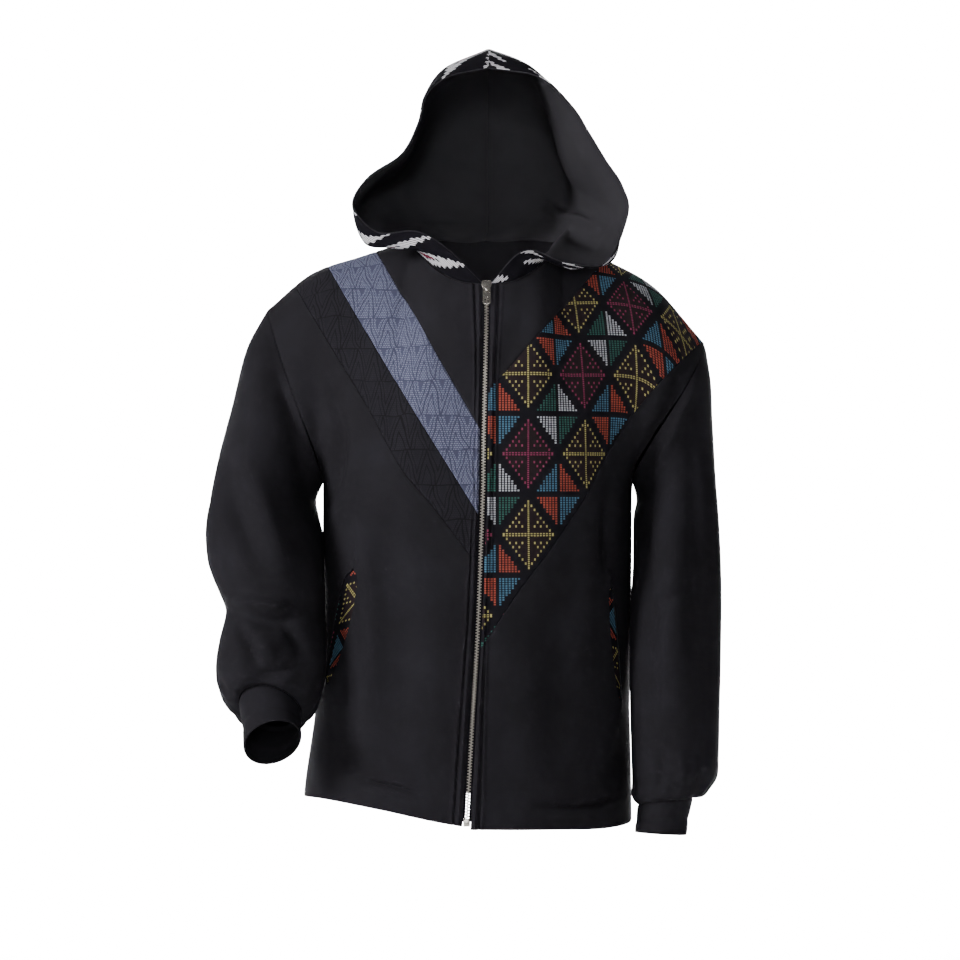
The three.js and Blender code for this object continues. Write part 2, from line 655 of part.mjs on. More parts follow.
/** The closed wall of a piece. */
function wall({ name, grid, round, thick, under }, seams) {
  const surface = (depth) =>
    grid.flatMap((column) =>
      column.map((p) => {
        const { normal, step } = atSeam(seams.get(keyOf(p)), name.replace("lining", "outer"));
        return p.clone().add(step).addScaledVector(normal, -depth);
      }),
    );
  const points = [...surface(under), ...surface(under + thick)];
  return closedGeometry(points, wallFaces(points, grid.length, grid[0].length, round));
}

// ---------------------------------------------------------------- solids and cuts
const wasm = await Module();
wasm.setup();

function toSolid(geometry) {
  const bare = geometry.clone();
  bare.deleteAttribute("normal");
  bare.deleteAttribute("uv");
  const merged = mergeVertices(bare, 1e-3);
  return new wasm.Manifold(
    new wasm.Mesh({
      numProp: 3,
      vertProperties: new Float32Array(merged.attributes.position.array),
      triVerts: new Uint32Array(merged.index.array),
    }),
  );
}

function toGeometry(solid) {
  const mesh = solid.getMesh();
  const geometry = new THREE.BufferGeometry();
  geometry.setAttribute("position", new THREE.BufferAttribute(new Float32Array(mesh.vertProperties), 3));
  geometry.setIndex(new THREE.BufferAttribute(new Uint32Array(mesh.triVerts), 1));
  return geometry;
}

const hoodie = new THREE.Group();

function addMesh(name, geometry, colour, { roughness = 0.85, metalness = 0 } = {}) {
  geometry.computeVertexNormals();
  const mesh = new THREE.Mesh(geometry, new THREE.MeshStandardMaterial({ color: colour, roughness, metalness }));
  mesh.name = name;
  hoodie.add(mesh);
}

// ---------------------------------------------------------------- pockets
/** Point of a front panel's flat facets at column u and height z, moved out by `lift`. */
function onPanel(side, u, z, lift) {
  const { grid } = pieces.get(`front_${side}_panel`);
  const columns = COLUMNS[side];
  const i = columns.findIndex((at, k) => columns[k + 1] >= u);
  const p = (u - columns[i]) / (columns[i + 1] - columns[i]);
  const heights = grid[i].map((point, j) => lerp(point.z, grid[i + 1][j].z, p));
  const j = heights.findIndex((at, k) => heights[k + 1] >= z);
  const q = (z - heights[j]) / (heights[j + 1] - heights[j]);
  const [a, b, c, d] = [grid[i][j], grid[i + 1][j], grid[i + 1][j + 1], grid[i][j + 1]];
  // The corner with its two cell sides, and how far along each the point lies.
  const corner = cutsAC(a, b, c, d)
    ? q <= p
      ? [b, a, c, 1 - p, q]
      : [d, c, a, p, 1 - q]
    : p + q <= 1
      ? [a, b, d, p, q]
      : [c, d, b, 1 - p, 1 - q];
  const [from, along, up, s, t] = corner;
  const point = from.clone().addScaledVector(along.clone().sub(from), s).addScaledVector(up.clone().sub(from), t);
  const normal = faceNormal(from, along, up);
  return point.addScaledVector(normal, normal.y > 0 ? -lift : lift);
}

/** A strip along a pocket slit, `grow` wider and longer than the slit, `lift` out from the cloth. */
function pocketGrid(side, grow, lift) {
  const { topU, topZ, footU, footZ, gape, bow } = POCKET[side];
  const clothWide = frontWidth(side);
  const long = Math.hypot(topZ - footZ, (footU - topU) * clothWide);
  const steps = 9;
  return even(steps).map((w) => {
    const along = lerp(-grow / long, 1 + grow / long, w);
    const belly = Math.sin(Math.PI * w) ** 0.25;
    const middle = lerp(topU, footU, along) + (bow * belly) / clothWide;
    const half = ((gape / 2) * belly + Math.max(grow, 0.4)) / clothWide;
    return [-1, 0, 1].map((edge) => onPanel(side, middle + edge * half, lerp(topZ, footZ, along), lift));
  });
}

function pocketSlit(side) {
  return toSolid(slab(pocketGrid(side, 0, 2.5), pocketGrid(side, 0, -CLOTH - 2)));
}

function pocketFacing(side) {
  const from = -CLOTH - LAYER_GAP;
  return slab(pocketGrid(side, POCKET_FACING_LAP, from), pocketGrid(side, POCKET_FACING_LAP, from - BROCADE));
}

// ---------------------------------------------------------------- zip
/** The two columns of a side's fronts nearest the zip, from the hem to the neck, without doubled points. */
function zipColumns(side) {
  const names = { right: ["panel", "black_band", "blue_band", "yoke"], left: ["panel", "print", "yoke"] }[side];
  const column = (k) => names.flatMap((name) => pieces.get(`front_${side}_${name}`).grid[k]);
  return [0, 1].map((k) => column(k).filter((p, i, all) => i === 0 || p.distanceTo(all[i - 1]) > 0.01));
}

/** Point at a height on a column of points that rises from the hem. */
function atHeight(column, z) {
  const i = Math.max(0, column.findIndex((p, k) => k === column.length - 2 || column[k + 1].z > z));
  return column[i].clone().lerp(column[i + 1], (z - column[i].z) / (column[i + 1].z - column[i].z));
}

/** Point of the zip line at a height: midway between the two fronts' edges. */
const zipLine = (z) => atHeight(zipColumns("right")[0], z).add(V(ZIP.edge, 0, 0));

/** The heights at which a side's front edge bends, with both ends of the zip's own span. */
function zipHeights(side, top) {
  const bends = zipColumns(side)[0].map((p) => p.z);
  return [ZIP.chainFoot, ...bends.filter((z) => z > ZIP.chainFoot + 1 && z < top - 1), top];
}

function zipTape(side) {
  const [edge, next] = zipColumns(side);
  const spacing = next[0].distanceTo(edge[0]);
  const heights = zipHeights(side, edge.at(-1).z - 1.5);
  const behind = CLOTH + 0.9;
  const grid = (depth) =>
    heights.map((z) =>
      [ZIP.tapeInner, ZIP.tapeOuter].map((dx) =>
        atHeight(edge, z).lerp(atHeight(next, z), (dx - ZIP.edge) / spacing).add(V(0, depth, 0)),
      ),
    );
  return slab(grid(behind), grid(behind + ZIP.tapeThick));
}

function zipChain() {
  const { chainHalf, chainFrom, chainThick, chainTop } = ZIP;
  const row = (depth) =>
    zipHeights("right", chainTop).map((z) => [-1, 1].map((edge) => zipLine(z).add(V(edge * chainHalf, depth, 0))));
  return slab(row(chainFrom), row(chainFrom + chainThick));
}

function box(wide, high, deep, x, y, z) {
  return toSolid(new THREE.BoxGeometry(wide, high, deep).translate(x, y, z));
}

/** From the slider's own frame to the garment: it leans back with the cloth below the neck. */
function placedOnZip(solid, z) {
  const lean = zipLine(z + 8).sub(zipLine(z - 8)).normalize();
  const matrix = new THREE.Matrix4().makeBasis(V(1, 0, 0), lean.setX(0).normalize(), V(1, 0, 0).cross(lean));
  return toGeometry(solid).applyMatrix4(matrix.setPosition(zipLine(z)));
}

function zipBox() {
  const { boxWide, boxLong, boxThick, chainFoot } = ZIP;
  const middle = chainFoot - 0.4 - boxLong / 2;
  return placedOnZip(box(boxWide, boxLong, boxThick, 0, 0, -ZIP.chainThick / 2), middle);
}

/** One plate of the slider: wide at the shoulders and narrow at the foot. */
function sliderPlate(from) {
  const { top, foot, shoulderWide, footWide, plateThick } = SLIDER;
  const half = [shoulderWide / 2, footWide / 2];
  const corners = [
    [-half[0] + 1.5, top],
    [-half[0], top - 2],
    [-half[0], top - 6],
    [-half[1], top - 10],
    [-half[1], foot],
  ];
  const mirrored = [...corners].reverse().map(([x, y]) => [-x, y]);
  const shape = new THREE.Shape([...corners, ...mirrored].map(([x, y]) => new THREE.Vector2(x, y)));
  const geometry = new THREE.ExtrudeGeometry(shape, { depth: plateThick, bevelEnabled: false });
  return toSolid(geometry.translate(0, 0, from));
}

function slider() {
  const s = SLIDER;
  const face = s.plateFrom + s.plateThick;
  const deep = face - s.backFrom;
  const roof = face + s.bridgeHollow;
  const legs = [s.bridgeTop - s.bridgeBar / 2, s.foot + s.bridgeBar / 2];
  const solids = [
    sliderPlate(s.plateFrom),
    sliderPlate(s.backFrom),
    box(s.postWide, s.postLong, deep, 0, s.top - s.postLong / 2, s.backFrom + deep / 2),
    ...legs.map((y) => box(s.bridgeWide, s.bridgeBar, s.bridgeHollow + 0.6, 0, y, face + s.bridgeHollow / 2)),
    box(s.bridgeWide, s.bridgeTop - s.foot, s.bridgeBar, 0, (s.bridgeTop + s.foot) / 2, roof + s.bridgeBar / 2),
  ];
  return placedOnZip(wasm.Manifold.union(solids), s.pivotZ);
}

function pullTab() {
  const t = TAB;
  const depth = SLIDER.plateFrom + SLIDER.plateThick + t.gap + t.thick / 2;
  const shape = new THREE.Shape();
  const half = t.wide / 2;
  shape.moveTo(-half, t.bar - 0.4);
  shape.lineTo(-half, -t.long + t.corner);
  shape.absarc(-half + t.corner, -t.long + t.corner, t.corner, Math.PI, 1.5 * Math.PI, false);
  shape.absarc(half - t.corner, -t.long + t.corner, t.corner, 1.5 * Math.PI, 2 * Math.PI, false);
  shape.lineTo(half, t.bar - 0.4);
  shape.lineTo(half - 1, t.bar);
  shape.lineTo(-half + 1, t.bar);
  const plate = new THREE.ExtrudeGeometry(shape, { depth: t.thick, bevelEnabled: false, curveSegments: 6 });
  const windowY = -t.long + t.windowFoot + t.windowLong / 2;
  const cuts = [
    box(t.eyeWide, t.eyeLong, 6, 0, -t.bar - t.eyeLong / 2, 0),
    box(t.windowWide, t.windowLong, 6, 0, windowY, 0),
  ];
  const solid = toSolid(plate.translate(0, 0, -t.thick / 2)).subtract(wasm.Manifold.union(cuts));
  return placedOnZip(solid.translate([0, 0, depth]), SLIDER.pivotZ);
}

// ---------------------------------------------------------------- the whole garment
makeFronts();
makeBack();
for (const side of ["right", "left"]) {
  makeSleeve(side);
  makeHood(side);
}

const metal = { roughness: 0.3, metalness: 1 };
const forms = [...pieces.values()];
const seams = gatherSeams(forms.filter((piece) => !piece.name.includes("lining")));
for (const piece of forms) {
  const side = ["right", "left"].find((name) => piece.name === `front_${name}_panel`);
  const whole = wall(piece, seams);
  addMesh(piece.name, side ? toGeometry(toSolid(whole).subtract(pocketSlit(side))) : whole, piece.colour);
}
for (const side of ["right", "left"]) {
  addMesh(`pocket_facing_${side}`, pocketFacing(side), COLOURS.print);
  addMesh(`zip_tape_${side}`, zipTape(side), COLOURS.tape);
}
addMesh("zip_chain", zipChain(), COLOURS.nickel, metal);
addMesh("zip_box", zipBox(), COLOURS.nickel, metal);
addMesh("zip_slider", slider(), COLOURS.nickel, metal);
addMesh("pull_tab", pullTab(), COLOURS.nickel, metal);

export default hoodie;
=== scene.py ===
import math

import bpy
import numpy as np
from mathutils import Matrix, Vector


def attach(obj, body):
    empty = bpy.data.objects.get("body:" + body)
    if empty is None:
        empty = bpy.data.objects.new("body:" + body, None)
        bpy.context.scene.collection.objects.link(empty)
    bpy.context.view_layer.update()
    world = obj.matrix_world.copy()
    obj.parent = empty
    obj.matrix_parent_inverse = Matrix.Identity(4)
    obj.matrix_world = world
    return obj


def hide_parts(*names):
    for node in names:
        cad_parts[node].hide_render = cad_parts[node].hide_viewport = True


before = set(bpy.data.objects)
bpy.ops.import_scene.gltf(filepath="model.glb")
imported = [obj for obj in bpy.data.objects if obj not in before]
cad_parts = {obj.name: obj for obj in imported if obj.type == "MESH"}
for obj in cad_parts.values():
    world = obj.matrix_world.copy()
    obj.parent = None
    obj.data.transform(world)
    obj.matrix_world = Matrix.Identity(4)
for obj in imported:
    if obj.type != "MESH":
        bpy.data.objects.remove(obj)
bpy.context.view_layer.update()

# A hooded zip jacket of thick smooth knit, worn with its hood up. Sizes are in millimetres until a mesh is made.
# Every cloth piece is a fine sheet on the form of its CAD solid: the body, a sleeve or the hood. Folds are soft
# ridges and troughs laid on it, and each sheet then gets its thickness inwards.

# ---------------------------------------------------------------- driving sizes
CLOTH = 1.6
BROCADE = 1.2
LINING = 1.2
LAYER_GAP = 0.75
SEAM_GAP = 0.44
MERGE_M = 0.00005  # points of a sheet this near each other, in metres, become one
STEP = 3.4  # spacing of a sheet's points
BACK_STEP = 4.6
CUFF_STEP = 2.4
ROLL = {"reach": 3.6, "deep": 0.85}  # cloth turning down into a seam
UNDERARM_Z = -295
UNDERARM_V = 0.58
HPS_U = 0.34
SECTION_POWER = 0.88

BODY = {
    "z": [-712, -660, -580, -480, -380, -295],
    "zip": [-19, -16, -11.5, -5.5, -1.5, 1.5],
    "right": [201, 199, 192, 189, 192, 194],
    "left": [201, 197, 192, 187, 183, 181],
    "front": [150, 149, 147, 146, 148, 150],
    "back": [134, 131, 126, 122, 126, 130],
}
HEM = {
    "right": {"u": [0, 0.3, 0.62, 1], "z": [-697, -680, -673, -679]},
    "left": {"u": [0, 0.3, 0.6, 1], "z": [-701, -703, -707, -708]},
}
HEM_BACK_Z = -694
NECK = {
    "front": {"u": [0, 0.12, 0.24, 0.34], "xyz": [(0, -114, -65), (34, -108, -59), (68, -78, -36), (90, 6, -2)]},
    "back": {"u": [0, 0.18, 0.34], "xyz": [(0, 78, 6), (50, 66, 5), (90, 6, -2)]},
}
SHOULDER = {"u": [0.34, 0.56, 0.8, 1], "xyz": [(90, 6, -2), (148, 16, -20), (212, 16, -47), (265, 10, -96)]}
BEND = {
    "front": {
        "u": [0, 0.12, 0.24, 0.34, 0.56, 0.8, 1],
        "leave": [(0, -4, 235), (0, -6, 245), (0, -8, 300), (0, -12, 390), (0, -34, 400),
                  (4, -170, 320), (20, -340, 130)],
        "arrive": [(0, 75, 190), (0, 85, 190), (0, 140, 160), (0, 215, 60), (0, 225, 40),
                   (0, 235, 60), (40, 300, 150)],
    },
    "back": {
        "u": [0, 0.18, 0.34, 0.56, 0.8, 1],
        "leave": [(0, 22, 330), (0, 22, 330), (0, 26, 360), (0, 46, 370),
                  (4, 160, 310), (20, 300, 130)],
        "arrive": [(0, -110, 250), (0, -120, 230), (0, -190, 80), (0, -200, 60),
                   (0, -215, 70), (40, -280, 150)],
    },
}
TIP = {"right": (-3, 10), "left": (7, -32)}
ZIP = {
    "top_x": 5.5, "edge": 4.6, "top": -70, "foot": -687.5,
    "tape_inner": 2.2, "tape_outer": 17, "tape_thick": 0.8,
}

# Slanting seams of the fronts, as x and z seen from straight in front.
SEAM = {
    "blue_top": [(-127, -20), (-8.8, -225)],
    "blue_foot": [(-184, -41), (-116.5, -155), (-11.7, -323.5)],
    "black_foot": [(-232, -51), (-135, -209), (-92, -284), (-56, -327), (-11.7, -385)],
    "print_top": [(7, -188), (24.4, -172), (62, -129), (94, -94), (143, -36)],
    "print_foot": [(7, -478), (44, -423), (81, -374), (118, -318), (151, -260), (188, -206),
                   (229, -161), (271, -124)],
}

# How far the cloth of a form runs, for spacing its points.
REACH = {"front_wide": 330, "front_high": 690, "back_high": 720, "hood_round": 400, "hood_high": 330}

# Sleeve sections: outer and inner silhouette points, middle depth, half depth and forward lean in degrees.
LIMB_COLUMNS = ("ox", "oz", "ix", "iz", "y", "half", "lean")
SLEEVE = {
    "right": [
        (-284, -131, -203, -318, 2, 84, 0),
        (-303, -204, -199, -340, -10, 82, 0),
        (-319, -272, -191, -367, -34, 78, 0),
        (-326, -337, -189, -398, -56, 75, 2),
        (-322, -393, -187, -430, -64, 72, 8),
        (-311, -433, -186, -459, -66, 69, 16),
        (-305, -456, -184, -482, -74, 67, 26),
        (-312, -491, -184, -506, -84, 66, 34),
        (-315, -520, -186, -531, -96, 64, 40),
        (-310, -543, -193, -553, -106, 58, 44),
        (-292, -557, -207, -566, -114, 46, 46),
    ],
    "left": [
        (278, -172, 190, -318, 4, 82, 0),
        (280, -220, 186, -340, -5, 80, 0),
        (282, -278, 184, -367, -22, 78, 0),
        (284, -344, 182, -403, -40, 75, 2),
        (285, -417, 178, -452, -52, 71, 3),
        (284, -495, 177, -510, -60, 66, 4),
        (284, -569, 177, -574, -62, 64, 6),
        (283, -625, 178, -627, -62, 62, 8),
        (280, -652, 179, -655, -62, 57, 8),
        (262, -670, 183, -677, -62, 45, 8),
    ],
}
CUFF = {
    "right": [(-286, -558, -212, -568, -117, 39, 47), (-280, -583, -211, -580, -135, 36, 49),
              (-277, -606, -209, -592, -153, 36, 50)],
    "left": [(252, -675, 186, -683, -62, 38, 8), (247, -697, 184, -699, -64, 36, 9),
             (244, -719, 182, -715, -66, 36, 10)],
}

# Hood sections from the face edge (0) round to the centre back seam (1), each from the jaw up to the top seam.
HOOD_T = (0, 0.25, 0.5, 0.75, 1)
HOOD_BACK = [(8, 90, 18), (8, 98, 28), (8, 106, 40), (8, 113, 54), (8, 119, 68), (8, 124, 84), (8, 128, 98),
             (8, 130, 112), (8, 130, 127), (8, 127, 142)]
HOOD = {
    "left": [
        [(50, -116, -28), (97, -108, -41), (147, -92, -40), (175, -80, 20), (168, -81, 56), (148, -83, 86),
         (128, -85, 118), (107, -85, 151), (68, -82, 185), (8, -77, 197)],
        [(74, -92, -33), (110, -85, -42), (156, -72, -26), (157, -62, 24), (139, -60, 60), (119, -60, 94),
         (103, -60, 128), (87, -58, 162), (58, -51, 202), (8, -45, 222)],
        [(104, -4, 10), (114, -6, 18), (122, -6, 32), (119, -4, 58), (106, -2, 82), (96, 0, 108),
         (88, 2, 138), (76, 6, 172), (50, 14, 208), (8, 20, 229)],
        [(74, 60, 18), (86, 62, 28), (98, 65, 44), (102, 70, 66), (102, 74, 88), (94, 78, 110),
         (84, 82, 132), (66, 88, 153), (38, 94, 174), (8, 98, 186)],
        HOOD_BACK,
    ],
    "right": [
        [(-38, -117, -28), (-76, -109, -4), (-124, -92, -3), (-155, -80, 30), (-138, -84, 63), (-98, -88, 91),
         (-77, -90, 127), (-68, -88, 161), (-41, -83, 185), (8, -77, 197)],
        [(-72, -90, -26), (-106, -82, -20), (-140, -68, -12), (-151, -56, 30), (-124, -58, 68), (-92, -60, 94),
         (-76, -60, 130), (-68, -56, 166), (-44, -50, 200), (8, -45, 222)],
        [(-102, -2, 10), (-116, -4, 18), (-130, -2, 32), (-132, 2, 56), (-110, 2, 80), (-90, 2, 104),
         (-76, 4, 138), (-62, 8, 172), (-36, 15, 206), (8, 20, 229)],
        [(-58, 60, 18), (-70, 62, 28), (-82, 65, 44), (-86, 70, 66), (-86, 74, 88), (-78, 78, 110),
         (-68, 82, 132), (-50, 88, 153), (-22, 94, 174), (8, 98, 186)],
        HOOD_BACK,
    ],
}

POCKET = {
    "right": {"top_u": 0.535, "top_z": -401, "foot_u": 0.735, "foot_z": -538, "gape": 42, "bow": 3},
    "left": {"top_u": 0.615, "top_z": -421, "foot_u": 0.715, "foot_z": -558, "gape": 20, "bow": -4},
}
POCKET_POWER = 0.25
POCKET_LIP = {"proud": 2.6, "wide": 16, "edge": 3, "sunk": 1.2}
FACING_LAP = 9
CUTTER_REACH = 14  # how far the tool that cuts a pocket mouth reaches to each side of the cloth

# Soft folds of each form, seen from in front or from behind: a path of x and z, its half width and its height
# (a trough is below zero).
FOLD_COLUMNS = ("path", "wide", "high")
FOLDS = {
    "body": {
        "front": [
            # the hem drags sideways along its stitching
            ([(-141, -646), (-108, -650), (-74, -658)], 2.6, -3.6),
            ([(-141, -653), (-108, -657), (-74, -665)], 4, 1.8),
            ([(63, -673), (106, -677), (140, -675), (172, -669)], 2.6, -3.6),
            ([(63, -680), (106, -684), (140, -682), (172, -676)], 4.5, 2.0),
            # soft vertical hang of the fronts
            ([(-159, -295), (-135, -376), (-128, -481), (-135, -600)], 13, 6.0),
            ([(-112, -330), (-98, -430), (-96, -520), (-104, -640)], 22, -5.5),
            ([(-52, -400), (-50, -520), (-60, -640)], 24, 3.0),
            ([(151, -292), (148, -365), (143, -430)], 9, -6.5),
            ([(124, -280), (127, -388), (124, -500)], 16, 5.0),
            ([(92, -430), (96, -540), (90, -650)], 20, -4.0),
            ([(50, -480), (54, -580), (50, -660)], 20, 3.0),
            ([(170, -560), (165, -620), (150, -664)], 12, -4.0),
            ([(-168, -560), (-160, -610), (-150, -640)], 12, -4.0),
            # drag lines from the underarm
            ([(-190, -335), (-172, -300), (-166, -240), (-180, -180)], 8, -7.0),
            ([(-176, -345), (-150, -310), (-142, -250)], 12, 4.5),
            ([(244, -160), (222, -208), (200, -252), (184, -300)], 8, -9.0),
            ([(218, -184), (190, -240), (168, -296)], 12, 4.0),
            ([(-98, -60), (-60, -120), (-30, -190)], 16, -2.5),
            ([(60, -90), (34, -140), (22, -190)], 14, -2.5),
        ],
        "back": [
            # back: the same kinds of fold
            ([(-120, -300), (-126, -450), (-118, -640)], 18, 4.6),
            ([(-70, -240), (-76, -430), (-64, -650)], 20, -4.4),
            ([(110, -300), (118, -450), (112, -650)], 18, 4.6),
            ([(60, -230), (70, -440), (62, -650)], 20, -4.4),
            ([(-176, -350), (-136, -280), (-112, -190)], 12, -5),
            ([(172, -350), (134, -280), (112, -190)], 12, -5),
            ([(-90, -44), (0, -62), (90, -44)], 12, -3),
            ([(-160, -560), (-150, -620), (-154, -664)], 14, -3),
            ([(158, -560), (150, -620), (154, -680)], 14, -3),
        ],
    },
    "sleeve_right": {
        "front": [
            ([(-262, -112), (-274, -200), (-280, -288)], 20, 7.0),
            ([(-240, -160), (-226, -215), (-214, -262), (-205, -325)], 11, -9.0),
            ([(-312, -252), (-292, -322), (-267, -376), (-244, -412)], 15, -10.5),
            ([(-272, -280), (-250, -343), (-227, -392)], 13, 6.0),
            ([(-322, -320), (-314, -390), (-298, -436)], 14, 7.5),
            ([(-304, -446), (-272, -455), (-242, -461), (-203, -448)], 9, -9),
            ([(-294, -436), (-258, -439), (-222, -442)], 8, 7.5),
            ([(-266, -479), (-238, -502)], 13, 9.0),
            ([(-292, -455), (-274, -482), (-258, -514)], 7, -8.0),
            ([(-232, -458), (-214, -486), (-207, -514)], 8, -7.5),
            ([(-296, -500), (-276, -540)], 14, 6.0),
            ([(-262, -522), (-232, -517), (-206, -506)], 6, -7.0),
        ],
        "back": [
            # behind the elbow
            ([(-300, -400), (-260, -390), (-220, -410)], 9, 7.5),
            ([(-312, -440), (-270, -432), (-220, -448)], 8, -10.5),
            ([(-312, -478), (-270, -466), (-218, -478)], 9, 7.5),
            ([(-280, -200), (-268, -300), (-262, -380)], 16, -7.5),
            ([(-240, -200), (-232, -290), (-228, -360)], 14, 6.0),
        ],
    },
    "sleeve_left": {
        "front": [
            ([(262, -160), (242, -206), (217, -268), (202, -312)], 9, 7.5),
            ([(230, -200), (222, -259), (219, -390), (222, -560)], 15, 5.5),
            ([(266, -180), (252, -240), (254, -366), (250, -540)], 15, -7.0),
            ([(192, -330), (197, -462), (201, -606)], 9, -7.0),
            ([(280, -300), (282, -420), (280, -560)], 12, 4.0),
            ([(188, -634), (224, -642), (274, -628)], 10, 5.5),
            ([(206, -668), (211, -640), (208, -606)], 6, -5.5),
            ([(252, -668), (256, -636), (264, -600)], 6, -5.5),
            ([(232, -664), (234, -640), (232, -610)], 6, 4.0),
            ([(240, -420), (214, -440), (196, -470)], 9, -3.5),
        ],
        "back": [
            ([(214, -200), (226, -330), (220, -470)], 14, -7.0),
            ([(256, -240), (262, -380), (256, -520)], 16, 5.5),
            ([(206, -520), (232, -560), (270, -570)], 10, -5.5),
        ],
    },
    "hood": {
        "back": [
            # the left side folds in where it lies on the shoulder
            ([(80, 50), (104, 24), (148, 8)], 8, -10),
            ([(94, 10), (120, -4), (144, -16)], 13, 10),
            ([(-70, 150), (-100, 80), (-90, 30)], 12, -3),
            ([(70, 150), (100, 80), (90, 30)], 12, -3),
        ],
    },
}


# ---------------------------------------------------------------- camera
CAMERA = {"x": -2.4, "y": -3000, "z": -295, "focal_px": 2459, "frame_px": 960}


def place_camera():
    data = bpy.data.cameras.new("camera")
    data.sensor_width = 36
    data.lens = CAMERA["focal_px"] / CAMERA["frame_px"] * data.sensor_width
    data.clip_end = 100
    camera = bpy.data.objects.new("camera", data)
    camera.location = Vector((CAMERA["x"], CAMERA["y"], CAMERA["z"])) / 1000
    camera.rotation_euler = (math.pi / 2, 0, 0)
    bpy.context.scene.collection.objects.link(camera)
    bpy.context.scene.camera = camera


place_camera()


# ---------------------------------------------------------------- small maths
def lerp(a, b, t):
    return a + (b - a) * t


def hermite(p0, m0, p1, m1, s):
    """The cubic from p0 to p1 that leaves with slope m0 and arrives with slope m1."""
    s2 = s * s
    s3 = s2 * s
    return (2 * s3 - 3 * s2 + 1) * p0 + (s3 - 2 * s2 + s) * m0 + (3 * s2 - 2 * s3) * p1 + (s3 - s2) * m1


def through(keys, values, at):
    """Smooth values at `at` through the values given at rising keys."""
    keys = np.asarray(keys, float)
    values = np.asarray(values, float)
    at = np.asarray(at, float)
    before = np.maximum(np.arange(len(keys)) - 1, 0)
    after = np.minimum(np.arange(len(keys)) + 1, len(keys) - 1)
    i = np.clip(np.searchsorted(keys, at), 1, len(keys) - 1)
    rise = keys[after] - keys[before]
    span = keys[i] - keys[i - 1]
    s = (at - keys[i - 1]) / span
    if values.ndim > 1:
        rise, span, s = rise[:, None], span[..., None], s[..., None]
    slopes = (values[after] - values[before]) / rise
    return hermite(values[i - 1], slopes[i - 1] * span, values[i], slopes[i] * span, s)


def smooth_step(t):
    t = np.clip(t, 0, 1)
    return t * t * (3 - 2 * t)


def bisect(low, high, is_low):
    """The place between low and high where is_low stops being true, for whole arrays."""
    for _ in range(30):
        middle = (low + high) / 2
        lower = is_low(middle)
        low, high = np.where(lower, middle, low), np.where(lower, high, middle)
    return (low + high) / 2


def lengths(points, axis):
    """Running length along one axis of a grid of points."""
    steps = np.linalg.norm(np.diff(points, axis=axis), axis=-1)
    return np.insert(np.cumsum(steps, axis=axis), 0, 0, axis=axis)


def spaced(length, step=STEP):
    """Shares of a length from 0 to 1, evenly spaced but closer at both ends, where the cloth turns into a seam."""
    close = [0, 0.8, 1.8, 3.2]
    inner = np.linspace(5, length - 5, max(2, round((length - 10) / step) + 1))
    return np.concatenate([close, inner, [length - x for x in reversed(close)]]) / length


# ---------------------------------------------------------------- body form
SIGN = {"right": -1, "left": 1}


def section_point(side, face, u, z):
    """Point of a level body section: u is 0 at the zip or centre back and 1 at the side seam."""
    across = np.sin(np.pi / 2 * u) ** SECTION_POWER
    along = np.maximum(0, np.cos(np.pi / 2 * u)) ** SECTION_POWER
    edge = ZIP["edge"] * (1 - u) if face == "front" else 0 * u
    wide = through(BODY["z"], BODY[side], z)
    deep = through(BODY["z"], BODY[face], z)
    x = through(BODY["z"], BODY["zip"], z) + SIGN[side] * (edge + (wide - edge) * across)
    y = deep * along * (-1 if face == "front" else 1)
    return np.stack(np.broadcast_arrays(x, y, z), axis=-1).astype(float)


def hem_z(side, face, u):
    if face == "front":
        return through(HEM[side]["u"], HEM[side]["z"], u)
    return lerp(HEM_BACK_Z, HEM[side]["z"][-1], u * u * (3 - 2 * u))


def top_edge(side, face, u):
    """Points of the neckline and shoulder seam, and each column's directions at its two ends."""
    near = through(NECK[face]["u"], NECK[face]["xyz"], u)
    far = through(SHOULDER["u"], SHOULDER["xyz"], u)
    point = np.where((u <= HPS_U)[..., None], near, far)
    outer = np.clip((u - HPS_U) / (1 - HPS_U), 0, 1) ** 2
    edge = ZIP["edge"] * np.maximum(0, 1 - u / HPS_U) if face == "front" else 0
    tip_x, tip_z = TIP[side]
    x = ZIP["top_x"] * (1 - u) + SIGN[side] * (edge + point[..., 0] + tip_x * outer)
    turned = np.array([SIGN[side], 1, 1])
    leave, arrive = (through(BEND[face]["u"], BEND[face][name], u) * turned for name in ("leave", "arrive"))
    return np.stack([x, point[..., 1], point[..., 2] + tip_z * outer], axis=-1), leave, arrive


def body_point(side, face, u, v):
    """Body surface: u across from the centre to the side, v up from the hem (0) to the neck or shoulder (1)."""
    u, v = np.broadcast_arrays(np.asarray(u, float), np.asarray(v, float))
    z = lerp(hem_z(side, face, u), UNDERARM_Z, np.minimum(v / UNDERARM_V, 1))
    low = section_point(side, face, u, z)
    start = section_point(side, face, u, np.full(u.shape, float(UNDERARM_Z)))
    point, leave, arrive = top_edge(side, face, u)
    s = np.clip((v - UNDERARM_V) / (1 - UNDERARM_V), 0, 1)[..., None]
    return np.where((v <= UNDERARM_V)[..., None], low, hermite(start, leave, point, arrive, s))


def above(seam, p):
    """How far a point of the front lies above a slanting seam, which runs on straight past its ends."""
    rows = np.array(SEAM[seam], float)
    rows = rows[np.argsort(rows[:, 0])]
    x = p[..., 0]
    height = through(rows[:, 0], rows[:, 1], np.clip(x, rows[0, 0], rows[-1, 0]))
    for end, near in ((rows[0], rows[1]), (rows[-1], rows[-2])):
        beyond = x < rows[0, 0] if end[0] < near[0] else x > rows[-1, 0]
        height = np.where(beyond, end[1] + (x - end[0]) * (near[1] - end[1]) / (near[0] - end[0]), height)
    return p[..., 2] - height


